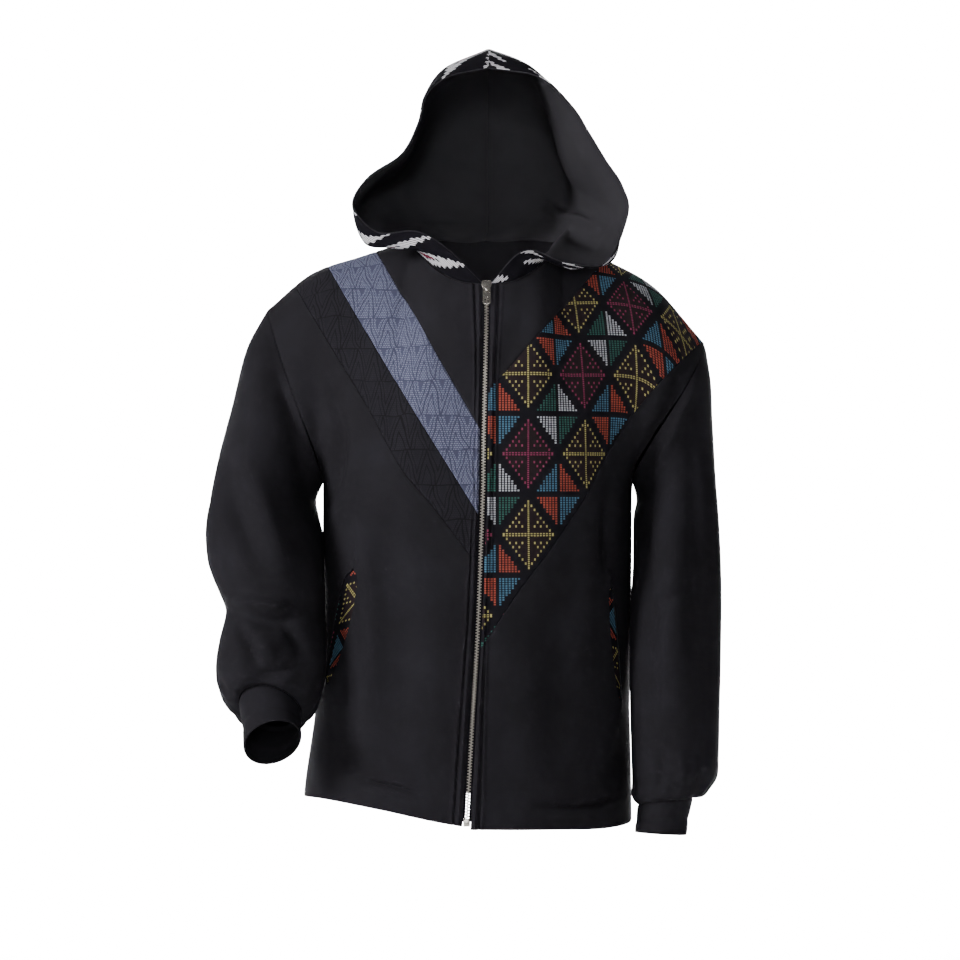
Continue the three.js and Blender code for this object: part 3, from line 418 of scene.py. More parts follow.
def seam_v(side, seam, u):
    """v at which a slanting seam crosses columns u, or 1 past the shoulder."""
    zero, one = np.zeros(u.shape), np.ones(u.shape)
    found = bisect(zero, one, lambda v: above(seam, body_point(side, "front", u, v)) < 0)
    return np.where(above(seam, body_point(side, "front", u, one)) <= 1e-6, 1.0, found)


def seam_end(side, seam):
    """Column in which a slanting seam meets the shoulder seam."""
    low, high = np.array([HPS_U]), np.array([1.0])
    found = bisect(low, high, lambda u: above(seam, body_point(side, "front", u, np.ones(1))) > 0)
    return float(found[0])


# ---------------------------------------------------------------- sleeve and hood forms
def limb_points(row, turn):
    """Points of a sleeve section at turns: 0 outside, 0.25 front, 0.5 against the body, 0.75 back."""
    at = dict(zip(LIMB_COLUMNS, row))
    outer = np.array([at["ox"], 0, at["oz"]], float)
    inner = np.array([at["ix"], 0, at["iz"]], float)
    lean = math.radians(at["lean"])
    depth = np.array([0, -math.cos(lean), math.sin(lean)]) * at["half"]
    centre = (outer + inner) / 2
    centre[1] = at["y"]
    angle = (turn * 2 * np.pi)[:, None]
    return centre + (outer - inner) / 2 * np.cos(angle) + depth * np.sin(angle)


def armhole_points(side, turn):
    """The armhole at turns, from the shoulder seam down the front and up the back."""
    side_seam = np.ones(turn.shape)
    front = body_point(side, "front", side_seam, 1 - np.clip(turn * 2, 0, 1) * (1 - UNDERARM_V))
    back = body_point(side, "back", side_seam, UNDERARM_V + np.clip(turn * 2 - 1, 0, 1) * (1 - UNDERARM_V))
    return np.where((turn <= 0.5)[:, None], front, back)


def lofted(rings, step):
    """A fine grid through rings of points, all with the same number of points."""
    rings = np.array(rings)
    gaps = np.linalg.norm(np.diff(rings, axis=0), axis=-1).mean(axis=1)
    keys = np.insert(np.cumsum(gaps), 0, 0)
    at = spaced(keys[-1], step) * keys[-1]
    flat = through(keys, rings.reshape(len(rings), -1), at)
    return flat.reshape(len(at), -1, 3)


def hood_point(side, t, s):
    """Hood surface: t from the face edge to the back seam, s from the neck seam up to the top seam."""
    place = np.where(t <= 0.5, t * 2, 2 - t * 2)
    front = body_point(side, "front", place * HPS_U, np.ones(t.shape))
    back = body_point(side, "back", place * HPS_U, np.ones(t.shape))
    neck = np.where((t <= 0.5)[:, None], front, back)
    rows = through(HOOD_T, np.array(HOOD[side], float).reshape(len(HOOD_T), -1), t).reshape(len(t), -1, 3)
    stations = np.concatenate([neck[:, None], rows], axis=1)
    keys = np.linspace(0, 1, stations.shape[1])
    flat = through(keys, stations.transpose(1, 0, 2).reshape(len(keys), -1), s)
    return flat.reshape(len(s), len(t), 3).transpose(1, 0, 2)


# ---------------------------------------------------------------- sheets
def grid_normals(points, round_piece=False):
    """Unit normals of a grid of points."""
    if round_piece:
        ring = np.concatenate([points[-2:-1], points, points[1:2]], axis=0)
        along = (ring[2:] - ring[:-2])
    else:
        along = np.gradient(points, axis=0)
    normals = np.cross(along, np.gradient(points, axis=1))
    size = np.linalg.norm(normals, axis=-1, keepdims=True)
    return normals / np.maximum(size, 1e-9)


def outward(points, normals, heart):
    """The normals turned to face away from a middle line."""
    return normals if np.sum(normals * (points - heart)) > 0 else -normals


def body_heart(points):
    return points * np.array([0.2, 0, 0]) + np.array([0, 0, 1]) * np.minimum(points[..., 2:], 60)


def fold_relief(points, normals, folds):
    """Height of the soft folds at each point."""
    total = np.zeros(points.shape[:-1])
    flat = points[..., [0, 2]]
    rows = [(face, dict(zip(FOLD_COLUMNS, row))) for face, seen in folds.items() for row in seen]
    for face, fold in rows:
        facing = normals[..., 1] * {"front": -1, "back": 1}[face]
        path = np.array(fold["path"], float)
        size = np.linalg.norm(np.diff(path, axis=0), axis=1)
        best = np.full(total.shape, 1e9)
        share = np.zeros(total.shape)
        for k in range(len(path) - 1):
            way = path[k + 1] - path[k]
            t = np.clip(((flat - path[k]) @ way) / (way @ way), 0, 1)
            gap = np.linalg.norm(flat - path[k] - t[..., None] * way, axis=-1)
            closer = gap < best
            best = np.where(closer, gap, best)
            share = np.where(closer, (size[:k].sum() + t * size[k]) / size.sum(), share)
        fade = np.sin(np.pi * np.clip(share, 0.02, 0.98)) ** 0.7
        total += ridge(best, 0, fold["wide"], fold["high"]) * fade * smooth_step((facing + 0.05) / 0.4)
    return total


def unevenness(points, high):
    """A slight waviness that all hung cloth has."""
    x, y, z = points[..., 0], points[..., 1], points[..., 2]
    waves = np.sin(x / 31 + y / 47 + 1.3) * np.sin(z / 63 + 0.4) + 0.6 * np.sin(x / 17 - z / 39 + y / 23)
    return high * waves


def seam_roll(points, tube=False):
    """Depth of the turn-down at the grid's edges, or at a tube's two ends."""
    up = lengths(points, 1)
    gap = np.minimum(up, up[:, -1:] - up)
    if not tube:
        across = lengths(points, 0)
        gap = np.minimum(gap, np.minimum(across, across[-1:] - across))
    return ROLL["deep"] * np.clip(1 - gap / ROLL["reach"], 0, 1) ** 2


def pull_in(points, axis):
    """Draws the two end rows of a grid in by half the seam gap."""
    rows = np.moveaxis(points, axis, 0)
    for edge, inner in ((0, 1), (-1, -2)):
        way = rows[inner] - rows[edge]
        size = np.maximum(np.linalg.norm(way, axis=-1, keepdims=True), 1e-6)
        rows[edge] += way / size * np.minimum(SEAM_GAP / 2, size * 0.5)
    return np.moveaxis(rows, 0, axis)


def ridge(place, middle, wide, high):
    """A soft ridge, or a trough where high is below zero, across places measured along the cloth."""
    return high * np.exp(-(((place - middle) / wide) ** 2))


def laid(points, normals, relief, tube=False):
    """Points raised by their relief, turned down into their seams and drawn in from them."""
    raised = points + normals * (relief - seam_roll(points, tube))[..., None]
    return pull_in(raised, 1) if tube else pull_in(pull_in(raised, 0), 1)


def select_none():
    for obj in bpy.context.selected_objects:
        obj.select_set(False)


def activate(obj):
    select_none()
    obj.select_set(True)
    bpy.context.view_layer.objects.active = obj


def apply_modifier(obj, kind, **settings):
    activate(obj)
    modifier = obj.modifiers.new(kind.title(), kind)
    for name, value in settings.items():
        setattr(modifier, name, value)
    bpy.ops.object.modifier_apply(modifier=modifier.name)


def edit_whole(*steps):
    """Runs operators, each given with its settings, on the whole of the active mesh."""
    bpy.ops.object.mode_set(mode="EDIT")
    bpy.ops.mesh.select_all(action="SELECT")
    for operator, settings in steps:
        operator(**settings)
    bpy.ops.object.mode_set(mode="OBJECT")


def make_grid(name, points, normals, uv=None):
    """A grid of points as a thin mesh that faces the way of its normals. uv is the place on the flat cloth."""
    columns, rows = points.shape[:2]
    select_none()
    bpy.ops.mesh.primitive_grid_add(x_subdivisions=columns - 1, y_subdivisions=rows - 1, size=1)
    piece = bpy.context.object
    piece.name = piece.data.name = name
    mesh = piece.data
    mesh.vertices.foreach_set("co", (points.transpose(1, 0, 2) / 1000).ravel())
    if uv is not None:
        corner = np.zeros(len(mesh.loops), int)
        mesh.loops.foreach_get("vertex_index", corner)
        flat = uv.transpose(1, 0, 2).reshape(-1, 2)
        mesh.uv_layers.active.data.foreach_set("uv", flat[corner].ravel())
    mesh.update()
    middle = mesh.polygons[len(mesh.polygons) // 2]
    want = normals.transpose(1, 0, 2).reshape(-1, 3)[middle.vertices[0]]
    turn = [(bpy.ops.mesh.flip_normals, {})] if np.array(middle.normal) @ want < 0 else []
    edit_whole(*turn, (bpy.ops.mesh.remove_doubles, {"threshold": MERGE_M}))
    return piece


def make_sheet(name, points, normals, uv, thick, slot):
    """A grid of cloth points as a piece with thickness inwards."""
    piece = make_grid(name, points, normals, uv)
    apply_modifier(piece, "SOLIDIFY", thickness=thick / 1000, offset=-1, use_rim=True)
    finish_piece(piece, MATERIALS[slot], 35)
    return piece


def finish_piece(piece, material, angle=30):
    piece.location = (0, 0, 0)
    piece.data.materials.clear()
    piece.data.materials.append(material)
    activate(piece)
    bpy.ops.object.shade_smooth_by_angle(angle=math.radians(angle))


# ---------------------------------------------------------------- flat cloth
LEVELS = np.linspace(UNDERARM_Z, 20, 64)
LEVEL_U = np.linspace(0, 1, 61)


def level_lengths(side):
    """For each level above the underarm, cloth distance from the garment's middle plane out to each column."""
    z, u = np.meshgrid(LEVELS, LEVEL_U, indexing="ij")
    low, high = np.full(u.shape, UNDERARM_V), np.ones(u.shape)
    v = bisect(low, high, lambda at: body_point(side, "front", u, at)[..., 2] < z)
    p = body_point(side, "front", u, v)
    step = np.diff(p, axis=1)
    reached = (v[:, 1:] < 0.9999) & (v[:, :-1] < 0.9999)
    size = np.where(reached, np.hypot(step[..., 0], step[..., 1]), np.abs(step[..., 0]))
    return np.insert(np.cumsum(size, axis=1), 0, 0, axis=1) + np.abs(p[:, :1, 0]) * np.sign(p[:, :1, 0] * SIGN[side])


def between(table, i, j, f, g):
    """A table read between its rows i and columns j, at shares f and g of the way to the next."""
    near = table[i, j] * (1 - f) + table[i + 1, j] * f
    far = table[i, j + 1] * (1 - f) + table[i + 1, j + 1] * f
    return near * (1 - g) + far * g


def flat_front(side, u, v):
    """Place of front points on the flat cloth, in metres: across from the middle plane, up from the underarm."""
    p = body_point(side, "front", u, v)
    table = level_lengths(side)
    zi = np.clip((p[..., 2] - LEVELS[0]) / (LEVELS[1] - LEVELS[0]), 0, len(LEVELS) - 1.001)
    ui = np.clip(u * (len(LEVEL_U) - 1), 0, len(LEVEL_U) - 1.001)
    i, j = zi.astype(int), ui.astype(int)
    f, g = zi - i, ui - j
    across = between(table, i, j, f, g)
    shift = through(BODY["z"], BODY["zip"], np.minimum(p[..., 2], UNDERARM_Z)) - BODY["zip"][-1]
    across = SIGN[side] * across + shift
    vs = np.linspace(UNDERARM_V, 1, 60)
    us = np.linspace(0, 1, 40)
    ug, vg = np.meshgrid(us, vs, indexing="ij")
    run = lengths(body_point(side, "front", ug, vg), 1)
    vi = np.clip((v - UNDERARM_V) / (1 - UNDERARM_V) * (len(vs) - 1), 0, len(vs) - 1.001)
    uj = np.clip(u * (len(us) - 1), 0, len(us) - 1.001)
    a, b = uj.astype(int), vi.astype(int)
    f, g = uj - a, vi - b
    up = between(run, a, b, f, g)
    up = np.where(v <= UNDERARM_V, p[..., 2] - UNDERARM_Z, up)
    return np.stack([across, up], axis=-1) / 1000


def flat_by_length(points):
    """Place on the flat cloth of a simple grid: running lengths along both of its axes, in metres."""
    across = lengths(points, 0)
    up = lengths(points, 1)
    middle = points.shape[1] // 2
    wide = across[:, middle : middle + 1] - across[points.shape[0] // 2, middle]
    return np.stack([np.broadcast_to(wide, up.shape), up], axis=-1) / 1000


# ---------------------------------------------------------------- materials
def linear(code):
    """A linear colour from an sRGB hex value."""
    parts = [int(code[i : i + 2], 16) / 255 for i in (1, 3, 5)]
    return tuple(c / 12.92 if c <= 0.04045 else ((c + 0.055) / 1.055) ** 2.4 for c in parts) + (1.0,)


def add(tree, kind, inputs=(), **settings):
    """Adds a node with its settings, and sets or links its inputs by name or number."""
    node = tree.nodes.new(kind)
    for name, value in settings.items():
        setattr(node, name, value)
    for name, value in dict(inputs).items():
        if isinstance(value, bpy.types.NodeSocket):
            tree.links.new(value, node.inputs[name])
        else:
            node.inputs[name].default_value = value
    return node


def work_out(tree, known, steps):
    """Adds one Math node for each step: its name, its operation, and its terms as names or numbers."""
    for name, operation, *terms in steps:
        inputs = {i: known[term] if isinstance(term, str) else term for i, term in enumerate(terms)}
        known[name] = add(tree, "ShaderNodeMath", inputs, operation=operation).outputs[0]
    return known


def painted(tree, ground, coats):
    """A colour socket: a ground with coats laid over it, each a mask and a colour."""
    below = ground
    for mask, colour in coats:
        mix = add(tree, "ShaderNodeMix", {0: mask, 6: below, 7: colour}, data_type="RGBA")
        below = mix.outputs[2]
    return below


def new_material(name):
    material = bpy.data.materials.new(name)
    material.use_nodes = True
    return material, material.node_tree, material.node_tree.nodes["Principled BSDF"]


def flat_coordinates(tree):
    """The place on the flat cloth in millimetres, from the piece's own UV map."""
    place = add(tree, "ShaderNodeTexCoord").outputs["UV"]
    split = add(tree, "ShaderNodeSeparateXYZ", {0: place})
    return work_out(
        tree,
        {"u_m": split.outputs[0], "v_m": split.outputs[1]},
        [("u", "MULTIPLY", "u_m", 1000.0), ("v", "MULTIPLY", "v_m", 1000.0)],
    )


def cloth_finish(tree, shader, roughness, sheen, height, strength, distance):
    """Sets a cloth's dry, softly lit surface and its relief."""
    shader.inputs["Roughness"].default_value = roughness
    shader.inputs["Specular IOR Level"].default_value = 0.01
    shader.inputs["Sheen Weight"].default_value = sheen
    shader.inputs["Sheen Roughness"].default_value = 0.45
    shader.inputs["Sheen Tint"].default_value = linear("#8f8c9a")
    bump = add(tree, "ShaderNodeBump", {"Height": height, "Strength": strength, "Distance": distance})
    tree.links.new(bump.outputs[0], shader.inputs["Normal"])


def grain(tree, size_mm, detail=2.0):
    """Noise whose grains are about size_mm across."""
    place = add(tree, "ShaderNodeTexCoord").outputs["Object"]
    return add(tree, "ShaderNodeTexNoise", {"Vector": place, "Scale": 1000 / size_mm, "Detail": detail}).outputs[0]


KNIT = "#1c1b1e"


def knit_material(name="scuba_knit", colour=KNIT, mottle="#201f23"):
    """Scuba knit: two fine dense faces with a spongy core, which gives a smooth, matt, even black."""
    material, tree, shader = new_material(name)
    cloudy = grain(tree, 60.0, 3.0)
    known = work_out(tree, {"n": cloudy}, [("a", "SUBTRACT", "n", 0.35), ("soft", "MULTIPLY", "a", 2.2)])
    base = painted(tree, linear(colour), [(known["soft"], linear(mottle))])
    tree.links.new(base, shader.inputs["Base Color"])
    # the stitches are about 0.7 mm apart and drawn at 1.4 mm, so that they just show
    cloth_finish(tree, shader, 0.82, 0.006, grain(tree, 1.4), 0.22, 0.0004)
    return material


# The print's chart: a lattice of diamonds 72 mm by 94 mm, with four stepped triangles round each crossing.
TILE = {"wide": 72.5, "high": 94.0, "u": 53.8, "v": -63.5}
PRINT = {
    "ground": "#17161a", "inside": "#231c1e", "yellow": "#97905a", "magenta": "#7d3450",
    "blue": "#44697f", "red": "#954639", "green": "#31564e", "white": "#a5a8ae",
}
PRINT_STEPS = [
    # which tile, and the place in it from its middle
    ("tu0", "SUBTRACT", "u", TILE["u"] - TILE["wide"] / 2),
    ("tu", "DIVIDE", "tu0", TILE["wide"]),
    ("tv0", "SUBTRACT", "v", TILE["v"] - TILE["high"] / 2),
    ("tv", "DIVIDE", "tv0", TILE["high"]),
    ("i", "FLOOR", "tu"),
    ("j", "FLOOR", "tv"),
    ("fu", "SUBTRACT", "tu", "i"),
    ("fv", "SUBTRACT", "tv", "j"),
    ("pu", "SUBTRACT", "fu", 0.5),
    ("pv", "SUBTRACT", "fv", 0.5),
    ("p", "MULTIPLY", "pu", TILE["wide"]),
    ("q", "MULTIPLY", "pv", TILE["high"]),
    ("a", "ABSOLUTE", "p"),
    ("b", "ABSOLUTE", "q"),
    ("ij", "ADD", "i", "j"),
    ("odd", "FLOORED_MODULO", "ij", 2.0),
    # the diamond's cells, 3.6 mm wide and 4.8 mm high
    ("ca", "MULTIPLY_ADD", "a", 1 / 3.6, 0.5),
    ("cb", "MULTIPLY_ADD", "b", 1 / 4.8, 0.5),
    ("ai", "FLOOR", "ca"),
    ("bj", "FLOOR", "cb"),
    ("ra", "FRACT", "ca"),
    ("rb", "FRACT", "cb"),
    ("step", "ADD", "ai", "bj"),
    ("outline", "COMPARE", "step", 8.0, 0.2),
    ("even", "FLOORED_MODULO", "step", 2.0),
    ("is_even", "LESS_THAN", "even", 0.5),
    ("low", "COMPARE", "bj", 2.5, 0.6),
    ("side", "GREATER_THAN", "ai", 1.5),
    ("within", "LESS_THAN", "step", 7.5),
    ("d1", "MULTIPLY", "is_even", "low"),
    ("d2", "MULTIPLY", "side", "within"),
    ("inner", "MULTIPLY", "d1", "d2"),
    ("dots", "MAXIMUM", "outline", "inner"),
    ("xa", "COMPARE", "ra", 0.5, 0.27),
    ("xb", "COMPARE", "rb", 0.5, 0.28),
    ("dot", "MULTIPLY", "xa", "xb"),
    ("diamond_dots", "MULTIPLY", "dots", "dot"),
    # its two double bars
    ("up_near", "LESS_THAN", "a", 1.0),
    ("up_gap", "GREATER_THAN", "a", 0.0),
    ("up_cell", "DIVIDE", "b", 2.3),
    ("up_share", "FRACT", "up_cell"),
    ("up_dot", "COMPARE", "up_share", 0.5, 0.33),
    ("up_end", "LESS_THAN", "b", 40.0),
    ("u1", "MULTIPLY", "up_near", "up_gap"),
    ("u2", "MULTIPLY", "up_dot", "up_end"),
    ("upright", "MULTIPLY", "u1", "u2"),
    ("x_near", "LESS_THAN", "b", 1.9),
    ("x_gap", "GREATER_THAN", "b", 0.45),
    ("x_dot", "COMPARE", "ra", 0.5, 0.33),
    ("x_end", "LESS_THAN", "a", 30.5),
    ("x1", "MULTIPLY", "x_near", "x_gap"),
    ("x2", "MULTIPLY", "x_dot", "x_end"),
    ("crossbar", "MULTIPLY", "x1", "x2"),
    ("bars", "MAXIMUM", "upright", "crossbar"),
    ("diamond", "MAXIMUM", "diamond_dots", "bars"),
    ("inside", "LESS_THAN", "step", 8.5),
    # the nearest crossing, and the place from it
    ("mu", "ROUND", "tu"),
    ("nv", "ROUND", "tv"),
    ("mn", "ADD", "mu", "nv"),
    ("kind", "FLOORED_MODULO", "mn", 2.0),
    ("cr", "SUBTRACT", TILE["wide"] / 2 - 1.3, "a"),
    ("dr", "SUBTRACT", TILE["high"] / 2 - 3.0, "b"),
    ("pq", "MULTIPLY", "p", "q"),
    ("falling", "GREATER_THAN", "pq", 0.0),
    # the triangles' cells, 3.6 mm by 2.7 mm
    ("cc", "DIVIDE", "cr", 3.6),
    ("dd", "DIVIDE", "dr", 2.7),
    ("ci", "FLOOR", "cc"),
    ("di", "FLOOR", "dd"),
    ("cx", "FRACT", "cc"),
    ("dx", "FRACT", "dd"),
    ("c_share", "MULTIPLY_ADD", "ci", 1 / 7, 0.5 / 7),
    ("d_share", "MULTIPLY_ADD", "di", 1 / 13, 0.5 / 13),
    ("cd", "ADD", "c_share", "d_share"),
    ("t1", "LESS_THAN", "cd", 1.01),
    ("t2", "GREATER_THAN", "cr", 0.0),
    ("t3", "GREATER_THAN", "dr", 0.0),
    ("t4", "COMPARE", "cx", 0.5, 0.32),
    ("t5", "COMPARE", "dx", 0.5, 0.35),
    ("t12", "MULTIPLY", "t1", "t2"),
    ("t34", "MULTIPLY", "t3", "t4"),
    ("t124", "MULTIPLY", "t12", "t34"),
    ("triangle", "MULTIPLY", "t124", "t5"),
    ("raised", "MAXIMUM", "triangle", "diamond"),
]


def print_material():
    """Heavy cotton woven with coloured floats: small raised stitches in a counted pattern on black."""
    material, tree, shader = new_material("counted_weave")
    known = work_out(tree, flat_coordinates(tree), PRINT_STEPS)
    colour = {name: linear(code) for name, code in PRINT.items()}
    falling, kind = known["falling"], known["kind"]
    first = painted(tree, colour["blue"], [(falling, colour["red"])])
    second = painted(tree, colour["green"], [(falling, colour["white"])])
    corner = painted(tree, first, [(kind, second)])
    thread = painted(tree, colour["yellow"], [(known["odd"], colour["magenta"])])
    ground = painted(tree, colour["ground"], [(known["inside"], colour["inside"])])
    base = painted(tree, ground, [(known["triangle"], corner), (known["diamond"], thread)])
    worn = work_out(tree, {"n": grain(tree, 5.0, 3.0)}, [("m", "MULTIPLY_ADD", "n", 0.9, -0.28)])["m"]
    base = painted(tree, base, [(worn, colour["ground"])])
    tree.links.new(base, shader.inputs["Base Color"])
    cloth_finish(tree, shader, 0.78, 0.015, known["raised"], 0.35, 0.0005)
    return material


# The jacquards' short floats and their rows, and the friezes of triangles that darker lines part them into.
JACQUARD = {"float": 3.0, "row": 2.3, "frieze": 41.0, "triangle": 23.0}


def jacquard_material(name, colours, roughness):
    """Cotton jacquard: rows of short floats, parted by darker lines into rows of uneven triangles."""
    material, tree, shader = new_material(name)
    known = work_out(
        tree,
        flat_coordinates(tree) | {"n": grain(tree, 40.0, 1.0)},
        [
            # rows of floats, each set half a float over from the last
            ("rows", "DIVIDE", "v", JACQUARD["row"]),
            ("row", "FLOOR", "rows"),
            ("set", "MULTIPLY", "row", JACQUARD["float"] / 2),
            ("along", "ADD", "u", "set"),
            ("dash_n", "DIVIDE", "along", JACQUARD["float"]),
            ("dash_x", "FRACT", "dash_n"),
            ("row_x", "FRACT", "rows"),
            ("dash_a", "LESS_THAN", "dash_x", 0.72),
            ("dash_b", "COMPARE", "row_x", 0.5, 0.29),
            ("dash", "MULTIPLY", "dash_a", "dash_b"),
            # friezes of triangles, each set over from the last, and a little warped
            ("warp", "MULTIPLY_ADD", "n", 16.0, "u"),
            ("lift", "MULTIPLY_ADD", "n", 14.0, "v"),
            ("f1", "DIVIDE", "lift", JACQUARD["frieze"]),
            ("frieze", "FLOOR", "f1"),
            ("high", "FRACT", "f1"),
            ("shift", "MULTIPLY", "frieze", 0.37),
            ("w1", "MULTIPLY_ADD", "warp", 1 / JACQUARD["triangle"], "shift"),
            ("w2", "PINGPONG", "w1", 0.5),
            ("zigzag", "MULTIPLY", "w2", 2.0),
            ("over", "SUBTRACT", "high", "zigzag"),
            ("l1", "COMPARE", "over", 0.0, 0.07),
            ("l2", "COMPARE", "over", 0.36, 0.045),
            ("l3", "COMPARE", "over", -0.42, 0.045),
            ("l4", "LESS_THAN", "high", 0.03),
            ("l12", "MAXIMUM", "l1", "l2"),
            ("l34", "MAXIMUM", "l3", "l4"),
            ("line", "MAXIMUM", "l12", "l34"),
            # the middles of some triangles are plain
            ("plain", "GREATER_THAN", "over", 0.66),
            ("keep", "SUBTRACT", 1.0, "plain"),
            ("off", "SUBTRACT", 1.0, "line"),
            ("k", "MULTIPLY", "keep", "off"),
            ("float", "MULTIPLY", "dash", "k"),
            ("height", "ADD", "float", "k"),
        ],
    )
    base = painted(
        tree,
        linear(colours["ground"]),
        [(known["line"], linear(colours["line"])), (known["float"], linear(colours["thread"]))],
    )
    tree.links.new(base, shader.inputs["Base Color"])
    cloth_finish(tree, shader, roughness, 0.015, known["height"], 0.4, 0.0006)
    return material


# The brocade's motif: its repeat, and where on the cloth the first one lies.
MOTIF = {"wide": 74.0, "high": 52.0, "u": 21.5, "v": 20.0, "thread": 1.8}


def brocade_material():
    """Brocade: off-white floats in serrated lozenges with a maroon heart, on black satin."""
    material, tree, shader = new_material("brocade")
    known = work_out(
        tree,
        flat_coordinates(tree),
        [
            ("tu0", "ADD", "u", MOTIF["u"]),
            ("tu", "DIVIDE", "tu0", MOTIF["wide"]),
            ("tv0", "ADD", "v", MOTIF["v"]),
            ("tv", "DIVIDE", "tv0", MOTIF["high"]),
            ("i", "FLOOR", "tu"),
            ("half", "MULTIPLY", "i", 0.5),
            ("tw", "ADD", "tv", "half"),
            ("fu", "FRACT", "tu"),
            ("fv", "FRACT", "tw"),
            ("pu", "SUBTRACT", "fu", 0.5),
            ("pv", "SUBTRACT", "fv", 0.5),
            ("p", "MULTIPLY", "pu", MOTIF["wide"]),
            ("q", "MULTIPLY", "pv", MOTIF["high"]),
            ("a", "ABSOLUTE", "p"),
            ("b", "ABSOLUTE", "q"),
            # floats side by side, each as long as its own step of the lozenge
            ("cell", "DIVIDE", "a", MOTIF["thread"]),
            ("step", "FLOOR", "cell"),
            ("gap", "FRACT", "cell"),
            ("thread", "COMPARE", "gap", 0.5, 0.33),
            ("jag", "FLOORED_MODULO", "step", 3.0),
            ("jagged", "MULTIPLY", "jag", 1.9),
            ("slope", "MULTIPLY_ADD", "step", 0.95, "b"),
            ("ring", "ADD", "slope", "jagged"),
            ("outer", "LESS_THAN", "ring", 22.0),
            ("clear", "GREATER_THAN", "ring", 11.5),
            ("r1", "MULTIPLY", "outer", "clear"),
            ("floats", "MULTIPLY", "r1", "thread"),
            ("heart", "LESS_THAN", "slope", 8.0),
            ("hearts", "MULTIPLY", "heart", "thread"),
            ("height", "MAXIMUM", "floats", "hearts"),
        ],
    )
    base = painted(
        tree,
        linear("#100f13"),
        [(known["floats"], linear("#b9b7bb")), (known["hearts"], linear("#6d2036"))],
    )
    tree.links.new(base, shader.inputs["Base Color"])
    cloth_finish(tree, shader, 0.7, 0.01, known["height"], 0.4, 0.0006)
    return material


def tape_material():
    """Woven polyester zip tape: a fine twill, a little shinier than the knit."""
    material, tree, shader = new_material("zip_tape")
    known = work_out(
        tree,
        flat_coordinates(tree),
        [("s", "ADD", "u", "v"), ("w", "DIVIDE", "s", 1.2), ("f", "PINGPONG", "w", 0.5)],
    )
    base = painted(tree, linear("#17161a"), [(known["f"], linear("#232227"))])
    tree.links.new(base, shader.inputs["Base Color"])
    cloth_finish(tree, shader, 0.7, 0.01, known["f"], 0.3, 0.0003)
    return material


def metal_material(name, colour, roughness, dulled):
    """Plated zinc alloy or brass wire, tumbled smooth, with small random patches of a duller colour."""
    material, tree, shader = new_material(name)
    patch = work_out(tree, {"n": grain(tree, 1.6, 3.0)}, [("m", "MULTIPLY_ADD", "n", 1.6, -0.5)])["m"]
    base = painted(tree, linear(colour), [(patch, linear(dulled))])
    tree.links.new(base, shader.inputs["Base Color"])
    shader.inputs["Metallic"].default_value = 1.0
    shader.inputs["Roughness"].default_value = roughness
    return material


def floor_material():
    """Painted studio floor: a plain pale matt coat."""
    material, tree, shader = new_material("studio_floor")
    base = painted(tree, linear("#f4f4f4"), [(grain(tree, 900.0), linear("#f7f7f7"))])
    tree.links.new(base, shader.inputs["Base Color"])
    shader.inputs["Roughness"].default_value = 0.9
    return material


MATERIALS = {
    "knit": knit_material(),
    "blue_jacquard": jacquard_material(
        "blue_jacquard", {"ground": "#3c3e4f", "line": "#363848", "thread": "#646679"}, 0.8
    ),
    "black_jacquard": jacquard_material(
        "black_jacquard", {"ground": "#1c1b1f", "line": "#161518", "thread": "#212024"}, 0.75
    ),
    "print_cloth": print_material(),
    "brocade": brocade_material(),
    # the lining knit is painted lighter than the outer knit: painted fill light in the shade inside the hood
    "hood_lining": knit_material("hood_lining_knit_painted_fill_light", "#252427", "#29282b"),
    "zip_tape": tape_material(),
    "zip_metal": metal_material("antique_silver", "#8d8982", 0.42, "#635f59"),
    "slider_metal": metal_material("nickel_plate", "#bdb9b2", 0.25, "#8f8b84"),
}


# ---------------------------------------------------------------- fronts and back
def front_piece(name, side, u_end, foot, top, slot):
    """A piece of a front between two seams, as far out as column u_end."""
    by_zip = np.arange(6, 24, 1.2) / REACH["front_wide"]
    us = np.unique(np.concatenate([spaced(u_end * REACH["front_wide"]) * u_end, by_zip]))
    us = us[us < u_end - 0.002] if u_end < 1 else us
    foot_v = seam_v(side, foot, us) if foot else np.zeros(us.shape)
    top_v = seam_v(side, top, us) if top else np.ones(us.shape)
    ws = spaced(float(((top_v - foot_v) * REACH["front_high"]).max()))
    u, w = np.meshgrid(us, ws, indexing="ij")
    v = lerp(foot_v[:, None], top_v[:, None], w)
    points = body_point(side, "front", u, v)
    normals = outward(points, grid_normals(points), body_heart(points))
    uv = flat_front(side, u, v)
    steady = np.clip(lengths(points, 0) / 40, 0, 1)  # the zip holds the cloth flat
    relief = fold_relief(points, normals, FOLDS["body"]) + unevenness(points, 0.7) * steady
    relief += placket_relief(points) + pocket_relief(points, side)
    return make_sheet(name, laid(points, normals, relief), normals, uv, CLOTH, slot)


# Along the zip: a soft fold by the teeth, a stitched groove and the swell beyond it.
PLACKET_COLUMNS = ("middle", "wide", "high")
PLACKET = [(9.4, 2.8, 2.2), (14.6, 1.5, -2.0), (18, 2.6, 1.0)]


def placket_relief(points):
    """The front edge folded under along the zip and stitched down."""
    gap = lengths(points, 0) + ZIP["edge"]
    return sum(ridge(gap, **dict(zip(PLACKET_COLUMNS, row))) for row in PLACKET)


def pocket_line(side, w):
    """Points of a pocket slit's middle line, from its top (0) to its foot (1)."""
    slit = POCKET[side]
    u = lerp(slit["top_u"], slit["foot_u"], w)
    z = lerp(slit["top_z"], slit["foot_z"], w)
    return section_point(side, "front", u, z)


